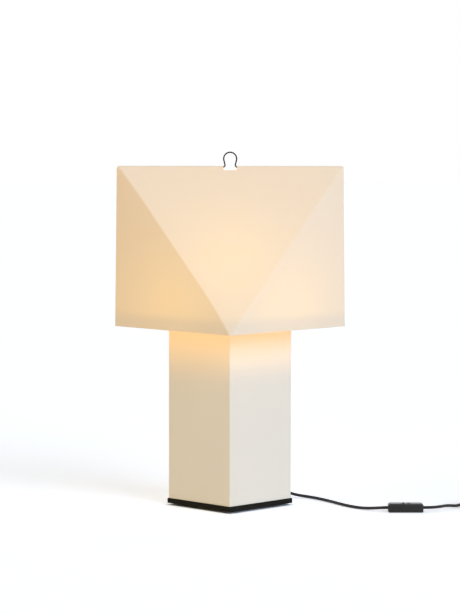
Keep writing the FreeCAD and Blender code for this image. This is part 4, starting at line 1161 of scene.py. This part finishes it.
def makeGlobe(settings):
    # thin frosted shell from the collar over the top
    low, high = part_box("bulb_globe")
    radius = high.x / mm
    centre = high.z / mm - radius
    start = math.acos((low.z / mm - centre) / radius)
    profile = []
    for step in range(settings["globeSteps"] + 1):
        angle = start * (1 - step / settings["globeSteps"])
        profile.append((radius * math.sin(angle), centre + radius * math.cos(angle)))
    globe = spun("bulbGlobe", profile)
    wallModifier(globe, settings["globeWall"] * mm)
    bakeModifiers(globe)
    smoothByAngle(globe.data, 40)
    return globe


def makeGlobeMaterial(settings):
    finish = {
        "color": settings["globeColor"], "tone": settings["globeTone"], "scale": 2500.0,
        "rough": 0.55, "bump": 0.1, "amount": 0.4,
    }
    material = grainMaterial("frostedGlobe", finish)
    feedAll(material.node_tree, material.node_tree.nodes["Principled BSDF"], {
        "Emission Color": settings["glow"], "Emission Strength": settings["glowLevel"],
    })
    return material


skirt = joined(
    "holderSkirt",
    turned("skirtWall", holderSettings["skirt"], 0.2),
    threaded("skirtThread", *holderSettings["skirtThread"]),
    turned("skirtCollar", holderSettings["skirtCollar"], 0.3),
    turned("skirtRim", holderSettings["skirtRim"], 0.2),
)
sleeve = joined(
    "holderThread",
    threaded("sleeveThread", *holderSettings["sleeve"]),
    turned("sleeveFoot", holderSettings["sleeveFoot"], 0.08),
    turned("sleeveTop", holderSettings["sleeveTop"], 0.08),
)
nippleTube = joined(
    "nippleTube",
    turned("nippleBore", holderSettings["nippleTube"], 0.15),
    threaded("nippleThread", *holderSettings["nippleThread"], steps=24),
)
cap = joined(
    "bulbCap",
    threaded("capThread", *bulbSettings["capThread"]),
    turned("capFoot", bulbSettings["capFoot"], 0.1),
    turned("capCollar", bulbSettings["capCollar"], 0.08),
)
insulator = turned("bulbInsulator", bulbSettings["insulator"])
tip = turned("bulbTip", bulbSettings["tip"], smooth=50)
housing = turned("bulbHousing", bulbSettings["housing"], smooth=40)
globe = makeGlobe(bulbSettings)
finishAll(
    (skirt, paints["holderWhite"], "lamp", "holder_white", "holder_skirt"),
    (sleeve, brass, "lamp", "brass", "holder_thread"),
    (nippleTube, brass, "lamp", "brass", "nipple"),
    (cap, capMetal, "bulb", "bulb_metal", "bulb_cap"),
    (insulator, paints["darkGlass"], "bulb", "insulator", "bulb_insulator"),
    (tip, capMetal, "bulb", "bulb_metal", "bulb_tip"),
    (housing, paints["bulbCollar"], "bulb", "bulb_white", "bulb_housing"),
    (globe, makeGlobeMaterial(bulbSettings), "bulb", "bulb_globe", "bulb_globe"),
)
print("lampholder and bulb turned")


# where the cord enters the column, and the foot pads

entrySettings = {
    "place": 75.0,  # column's outside to the middle
    "height": glandHeight,
    "bush": ((2.7, -8.0), (4.9, -8.0), (4.9, 0.0), (6.4, 0.0), (6.4, 1.4), (5.9, 2.0), (5.8, 2.0)),
    "boot": (2.0, 22.0, 5.8, 3.8),  # from, to, root radius, tip radius
    "grooves": 6,
    "grooveDepth": 0.65,
    "grooveHalf": 0.6,
    "bore": 2.7,
}
padSettings = {
    "radius": 10.0,
    "foot": ((0, 0.5), (6.4, 0.5), (6.9, 0), (9.2, 0), (9.8, 0.25), (10.0, 0.8)),
}


def groovedCone(low, high, root, tip, settings):
    # outline of a tapered sleeve with rounded grooves, from the root to the tip
    outline = []
    for number in range(settings["grooves"]):
        middle = low + (high - low) * (number + 1) / (settings["grooves"] + 1)
        for aside, sink in ((-1, 0), (-0.6, 0.75), (0, 1), (0.6, 0.75), (1, 0)):
            z = middle + aside * settings["grooveHalf"]
            radius = root + (tip - root) * (z - low) / (high - low)
            outline.append((radius - sink * settings["grooveDepth"], z))
    return outline


def makeGland(settings):
    low, high, root, tipRadius = settings["boot"]
    outline = [*settings["bush"], *groovedCone(low, high, root, tipRadius, settings)]
    outline += [(tipRadius, high - 0.4), (tipRadius - 0.4, high), (settings["bore"], high)]
    gland = turned("cordGland", outline, smooth=32, steps=64)
    out = Matrix.Rotation(math.radians(45), 4, "Z")
    seat = Matrix.Translation((settings["place"] * mm, 0, settings["height"] * mm))
    gland.data.transform(out @ seat @ Matrix.Rotation(math.pi / 2, 4, "Y"))
    return gland


def makeInnerCord(settings):
    # from the boot's tip through the bush, round and up into the lampholder
    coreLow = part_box("holder_core")[0].z
    height = settings["height"] * mm
    reach = glandReach * mm
    corners = [Vector((reach, reach, height)), Vector((0, 0, height)), Vector((0, 0, coreLow))]
    line, _ = evenly(roundedLine(corners, cordSettings["innerBend"], steps=24), cordSettings["farStep"])
    return cordTube("innerCord", line)


def makePads(settings):
    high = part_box("foot_pads")[1]
    radius, thick = settings["radius"], high.z / mm
    profile = (*settings["foot"], (radius, thick), (0, thick))
    pads = []
    for quarter in range(4):
        pad = turned("footPad", profile, steps=64)
        middle = Matrix.Translation((high.x - radius * mm, 0, 0))
        pad.data.transform(Matrix.Rotation(math.radians(90 * quarter), 4, "Z") @ middle)
        pads.append(pad)
    return joined("footPads", *pads)


finishAll(
    (makeGland(entrySettings), paints["glandBlack"], "lamp", "gland_black", "cord_gland"),
    (makeInnerCord(entrySettings), cordMaterial, "lamp", "cord_black", "inner_cord"),
    (makePads(padSettings), paints["rubberPad"], "lamp", "rubber_pads", "foot_pads"),
)
print("cord entry and pads made")


# switch

switchSettings = {
    "centre": (299.2, -81.5),
    "size": (60.0, 24.0, 14.8),
    "corner": 4.0,
    "topEdge": 2.2,
    "footEdge": 2.0,
    "seamEdge": 0.35,
    "pivotHeight": 10.6,
    "rockerRadius": 7.8,
    "rockerWidth": 9.0,
    "rockerTop": 4.1,
    "rockerEnd": 5.25,  # height of the top at its ends, before it is tilted
    "rockerBottom": 3.0,
    "rockerTilt": 15.0,
    "rockerEase": 0.4,
}


def mouldedBlock(name, size, low, high, corner, lowEdge, highEdge):
    # block with rounded upright edges and rims rounded by their own radii, in mm
    bm = bmesh.new()
    middle = Matrix.Translation((0, 0, (low + high) / 2 * mm))
    scale = Matrix.Diagonal((size[0] * mm, size[1] * mm, (high - low) * mm, 1))
    bmesh.ops.create_cube(bm, size=1, matrix=middle @ scale)
    upright = [e for e in bm.edges if abs(e.verts[0].co.z - e.verts[1].co.z) > 1e-5]
    bevelEdges(bm, upright, corner * mm, 10)
    for height, radius in ((low, lowEdge), (high, highEdge)):
        rim = [e for e in bm.edges if all(abs(v.co.z - height * mm) < 1e-6 for v in e.verts)]
        bevelEdges(bm, rim, radius * mm, 6)
    return objectFromBmesh(name, bm)


def withinForm(node, name, form, smooth=32):
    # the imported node, cut to a rounder outside form
    piece = dressed(node, smooth=smooth, name=name)
    cutWith(piece, form, "INTERSECT")
    smoothByAngle(piece.data, smooth)
    return piece


def makeSwitchHalf(node, name, low, high, lowEdge, highEdge, settings):
    form = mouldedBlock(name + "Form", settings["size"], low, high, settings["corner"], lowEdge, highEdge)
    x, y = settings["centre"]
    form.data.transform(Matrix.Translation((x * mm, y * mm, 0)))
    return withinForm(node, name, form)


def makeRocker(settings):
    # hollowed top between two arcs about the pivot
    radius = settings["rockerRadius"]
    endAngle = math.asin(settings["rockerEnd"] / radius)
    lowAngle = -math.asin(settings["rockerBottom"] / radius)
    half = radius * math.cos(endAngle)
    outline = []
    for step in range(13):
        x = half * (step / 6 - 1)
        lift = (settings["rockerEnd"] - settings["rockerTop"]) * (x / half) ** 2
        outline.append((x, settings["rockerTop"] + lift))
    arc = [endAngle + (lowAngle - endAngle) * step / 8 for step in range(1, 9)]
    outline += [(radius * math.cos(angle), radius * math.sin(angle)) for angle in arc]
    outline += [(-radius * math.cos(angle), radius * math.sin(angle)) for angle in reversed(arc)]
    width = settings["rockerWidth"] * mm
    corners = [(x * mm, -width / 2, z * mm) for x, z in outline]
    rocker = drawnOut("rocker", corners, (0, width, 0))
    bevelModifier(rocker, settings["rockerEase"] * mm, 4, 40)
    bakeModifiers(rocker)
    x, y = settings["centre"]
    seat = Matrix.Translation((x * mm, y * mm, settings["pivotHeight"] * mm))
    rocker.data.transform(seat @ Matrix.Rotation(math.radians(settings["rockerTilt"]), 4, "Y"))
    smoothByAngle(rocker.data, 30)
    return rocker


switchTop = switchSettings["size"][2]
footEdge, seamEdge, topEdge = (switchSettings[key] for key in ("footEdge", "seamEdge", "topEdge"))
switchLow = makeSwitchHalf(
    "switch_base", "switchBase", 0, switchSeam, footEdge, seamEdge, switchSettings,
)
switchHigh = makeSwitchHalf(
    "switch_cover", "switchCover", switchSeam, switchTop, seamEdge, topEdge, switchSettings,
)
finishAll(
    (switchLow, paints["switchShell"], "lamp", "switch_plastic", "switch_base"),
    (switchHigh, paints["switchShell"], "lamp", "switch_plastic", "switch_cover"),
    (makeRocker(switchSettings), paints["rockerGloss"], "rocker", "rocker_plastic", "switch_rocker"),
)
print("switch made")


# plug and the strap round the coil

plugSettings = {
    "place": tailRoute[-1],  # where the strain relief begins
    "reliefLength": 24.0,
    "relief": (3.6, 5.4),
    "grooves": 7,
    "grooveDepth": 0.55,
    "grooveHalf": 0.55,
    "bodyStart": 510.0,
    "bodyLength": 38.0,
    "faceLength": 17.0,
    "tailWidth": 13.0,
    "width": 35.4,
    "thick": 13.7,
    "bow": 1.6,
    "edge": 2.3,
    "pinStart": 541.0,
    "pinSpacing": 18.6,
    "pin": ((0, 0), (1.5, 0), (1.5, 17.0), (1.7, 17.0), (2.0, 17.2), (2.0, 24.9), (1.85, 25.4), (1.4, 25.8),
            (0.8, 26.0), (0, 26.0)),
    "sleeve": ((1.54, 0), (1.9, 0), (1.9, 16.8), (1.75, 17.0), (1.54, 17.0)),
}
strapSettings = {
    "centre": coilSettings["centre"],
    "angle": -100.0,
    "inside": (20.65, 0.65),  # radius and height of the hole's lower inner corner
    "outside": (36.41, 23.6),
    "thick": 0.6,
    "slack": 0.95,  # share of that thickness that the strap itself has
    "edge": 0.12,
    "width": 7.0,
    "bend": 1.6,
    "flap": (4.0, 17.0),  # the free end lies on the outer side from this height to this
}


def layAlongX(piece, start):
    piece.data.transform(Matrix.Translation(Vector(start) * mm) @ Matrix.Rotation(math.pi / 2, 4, "Y"))
    return piece


def makeRelief(settings):
    tipRadius, root = settings["relief"]
    length = settings["reliefLength"]
    outline = [(0, 0), (tipRadius - 0.4, 0), (tipRadius, 0.4)]
    outline += groovedCone(0, length, tipRadius, root, settings)
    outline += [(root, length), (0, length)]
    return layAlongX(turned("plugRelief", outline, smooth=32, steps=64), settings["place"])


def makePlugBody(settings):
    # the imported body, cut to a form with rounded rims
    tail, wide = settings["tailWidth"] / 2, settings["width"] / 2
    taper = settings["bodyLength"] - settings["faceLength"]
    outline = []
    for step in range(17):
        share = step / 16
        bow = 4 * settings["bow"] * share * (1 - share)
        outline.append((taper * share, tail + (wide - tail) * share - bow))
    outline.append((settings["bodyLength"], wide))
    outline += [(x, -y) for x, y in reversed(outline)]
    _, y, z = settings["place"]
    low = z - settings["thick"] / 2
    corners = [((settings["bodyStart"] + dx) * mm, (y + dy) * mm, low * mm) for dx, dy in outline]
    form = drawnOut("plugForm", corners, (0, 0, settings["thick"] * mm))
    bevelModifier(form, settings["edge"] * mm, 5, 50)
    bakeModifiers(form)
    return withinForm("plug_body", "plugBody", form)


def makePair(name, profile, settings):
    _, y, z = settings["place"]
    pair = []
    for side in (-0.5, 0.5):
        pin = turned(name, profile, smooth=40, steps=40)
        pair.append(layAlongX(pin, (settings["pinStart"], y + side * settings["pinSpacing"], z)))
    return joined(name + "Pair", *pair)


def strapBand(line, settings):
    # a strip along the line, as wide as the strap, with its thickness
    bm = bmesh.new()
    _, edges = chain(bm, [(point.x, -settings["width"] / 2 * mm, point.z) for point in line])
    grown = bmesh.ops.extrude_edge_only(bm, edges=edges)
    moved = elementsOf(grown, bmesh.types.BMVert)
    bmesh.ops.translate(bm, verts=moved, vec=(0, settings["width"] * mm, 0))
    bmesh.ops.remove_doubles(bm, verts=bm.verts, dist=1e-6)
    bmesh.ops.recalc_face_normals(bm, faces=bm.faces)
    band = objectFromBmesh("strapBand", bm)
    wallModifier(band, settings["thick"] * settings["slack"] * mm, 0)
    bevelModifier(band, settings["edge"] * mm, 2, 50)
    return bakeModifiers(band)


def makeStrap(settings):
    # loop round all the turns, and its free end laid over the outer side
    half = settings["thick"] / 2
    (x0, z0), (x1, z1) = settings["inside"], settings["outside"]
    corners = [
        Vector((x1 + half, 0, z0 - half)), Vector((x1 + half, 0, z1 + half)),
        Vector((x0 - half, 0, z1 + half)), Vector((x0 - half, 0, z0 - half)),
    ]
    loop = roundedLine([corner * mm for corner in corners], settings["bend"] * mm, closed=True)
    out = x1 + 3 * half
    flap = [Vector((out * mm, 0, height * mm)) for height in settings["flap"]]
    strap = joined(
        "coilStrap", strapBand(loop + loop[:1], settings), strapBand(flap, settings),
    )
    turn = Matrix.Rotation(math.radians(settings["angle"]), 4, "Z")
    x, y = settings["centre"]
    strap.data.transform(Matrix.Translation((x * mm, y * mm, 0)) @ turn)
    smoothByAngle(strap.data, 40)
    return strap


relief = makeRelief(plugSettings)
plugBody = makePlugBody(plugSettings)
pins = makePair("plugPin", plugSettings["pin"], plugSettings)
pinSleeves = makePair("pinSleeve", plugSettings["sleeve"], plugSettings)
cordEnd = finishAll(
    (relief, paints["plugBlack"], "lamp", "plug_plastic", "plug_relief"),
    (plugBody, paints["plugBlack"], "lamp", "plug_plastic", "plug_body"),
    (pins, nickel, "lamp", "pin_nickel", "plug_pins"),
    (pinSleeves, paints["plugBlack"], "lamp", "plug_plastic", "plug_sleeves"),
    (makeStrap(strapSettings), paints["strapBlack"], "lamp", "tie_black", "coil_tie"),
)
print("plug and strap made")


# light, floor and background

stageSettings = {
    "keyAzimuth": 40.0,  # degrees to the right of the camera's side
    "keyHeight": 22.0,
    "keyLevel": 1.5,
    "keyColor": (0.97, 1.0, 1.02),
    "keySoftness": 40.0,
    "fillAzimuth": -70.0,
    "fillHeight": 12.0,
    "fillLevel": 1.32,
    "fillColor": (1.0, 0.68, 0.23),
    "fillSoftness": 70.0,
    "backAzimuth": 160.0,
    "backHeight": 25.0,
    "backLevel": 0.7,
    "backColor": (1.0, 0.98, 0.95),
    "backSoftness": 80.0,
    "world": (0.24, 0.23, 0.215, 1),
    "floorAlbedo": (0.8, 0.8, 0.8, 1),
    "floorShown": (0.96, 1.08, 1.3, 1),
    "floorLift": 0.4,
    "liftEdge": (0.106, 0.116),  # the lift fades out under the base plate, a painted shade in the gap beneath it: sum of |x| and |y|
    "floorSize": 40.0,
    "floorDrop": 0.0002,  # keeps the floor clear of what stands on it
    "bulbPower": 0.9,
    "bulbColor": (1.0, 0.66, 0.30),
    "bulbSize": 0.0315,  # just outside the globe, which would hide it
}


def makeSun(name, settings):
    data = bpy.data.lights.new(name + "Light", "SUN")
    data.energy = settings[name + "Level"]
    data.color = settings[name + "Color"]
    data.angle = math.radians(settings[name + "Softness"])
    sun = newObject(name + "Light", data)
    azimuth = math.radians(settings[name + "Azimuth"])
    height = math.radians(settings[name + "Height"])
    level = Vector((math.sin(azimuth), -math.cos(azimuth), 0)) * math.cos(height)
    toLight = level + Vector((0, 0, math.sin(height)))
    sun.rotation_mode = "QUATERNION"
    sun.rotation_quaternion = toLight.to_track_quat("Z", "Y")


def showApart(tree, lit, shown, outputKind):
    # the camera, mirrors and glass see one shader, and the light on the lamp comes from the other
    rays = addNode(tree, "ShaderNodeLightPath", -600, 300).outputs
    first = mathNode(tree, "MAXIMUM", -420, 300, rays["Is Camera Ray"], rays["Is Glossy Ray"])
    mask = mathNode(tree, "MAXIMUM", -260, 300, first, rays["Is Transmission Ray"])
    mix = addNode(tree, "ShaderNodeMixShader", 400, 0, {0: mask, 1: lit.outputs[0], 2: shown.outputs[0]})
    addNode(tree, outputKind, 600, 0, {0: mix.outputs[0]})


def makeWorld(settings):
    world = bpy.data.worlds.new("studio")
    world.use_nodes = True
    tree = world.node_tree
    tree.nodes.clear()
    shown = addNode(tree, "ShaderNodeBackground", 0, -150, {"Color": (1, 1, 1, 1)})
    lighting = addNode(tree, "ShaderNodeBackground", 0, 0, {"Color": settings["world"]})
    showApart(tree, lighting, shown, "ShaderNodeOutputWorld")
    bpy.context.scene.world = world


def makeFloor(settings):
    bm = bmesh.new()
    bmesh.ops.create_grid(bm, x_segments=1, y_segments=1, size=settings["floorSize"] / 2)
    floor = objectFromBmesh("studioFloor", bm)
    floor.data.transform(Matrix.Translation((0, 0, -settings["floorDrop"])))
    material = bpy.data.materials.new("paleFloor")
    material.use_nodes = True
    tree = material.node_tree
    tree.nodes.clear()
    # the floor's added light is taken away under the base plate: a painted shade there
    coords = addNode(tree, "ShaderNodeTexCoord", -900, -300)
    split = splitVector(tree, -740, -300, coords.outputs["Object"])
    across = mathNode(tree, "ABSOLUTE", -580, -220, split["X"])
    ahead = mathNode(tree, "ABSOLUTE", -580, -380, split["Y"])
    reach = mathNode(tree, "ADD", -420, -300, across, ahead)
    lift = rangeNode(tree, -260, -300, reach, *settings["liftEdge"], 0.0, settings["floorLift"])
    plain = addNode(tree, "ShaderNodeBsdfDiffuse", 0, 150, {"Color": settings["floorAlbedo"]})
    seen = addNode(tree, "ShaderNodeBsdfDiffuse", 0, 0, {"Color": settings["floorShown"]})
    light = addNode(tree, "ShaderNodeEmission", 0, -150, {"Strength": lift})
    both = addNode(tree, "ShaderNodeAddShader", 200, -50, {0: seen.outputs[0], 1: light.outputs[0]})
    showApart(tree, plain, both, "ShaderNodeOutputMaterial")
    setMaterial(floor, material)


def makeBulbLight(settings):
    low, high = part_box("bulb_globe")
    data = bpy.data.lights.new("bulbLight", "POINT")
    data.energy = settings["bulbPower"]
    data.color = settings["bulbColor"]
    data.shadow_soft_size = settings["bulbSize"]
    light = newObject("bulbLight", data)
    light.location = (low + high) / 2


makeWorld(stageSettings)
makeFloor(stageSettings)
for sun in ("key", "fill", "back"):
    makeSun(sun, stageSettings)
makeBulbLight(stageSettings)
bpy.context.scene.view_settings.view_transform = "Standard"
print("studio lit")
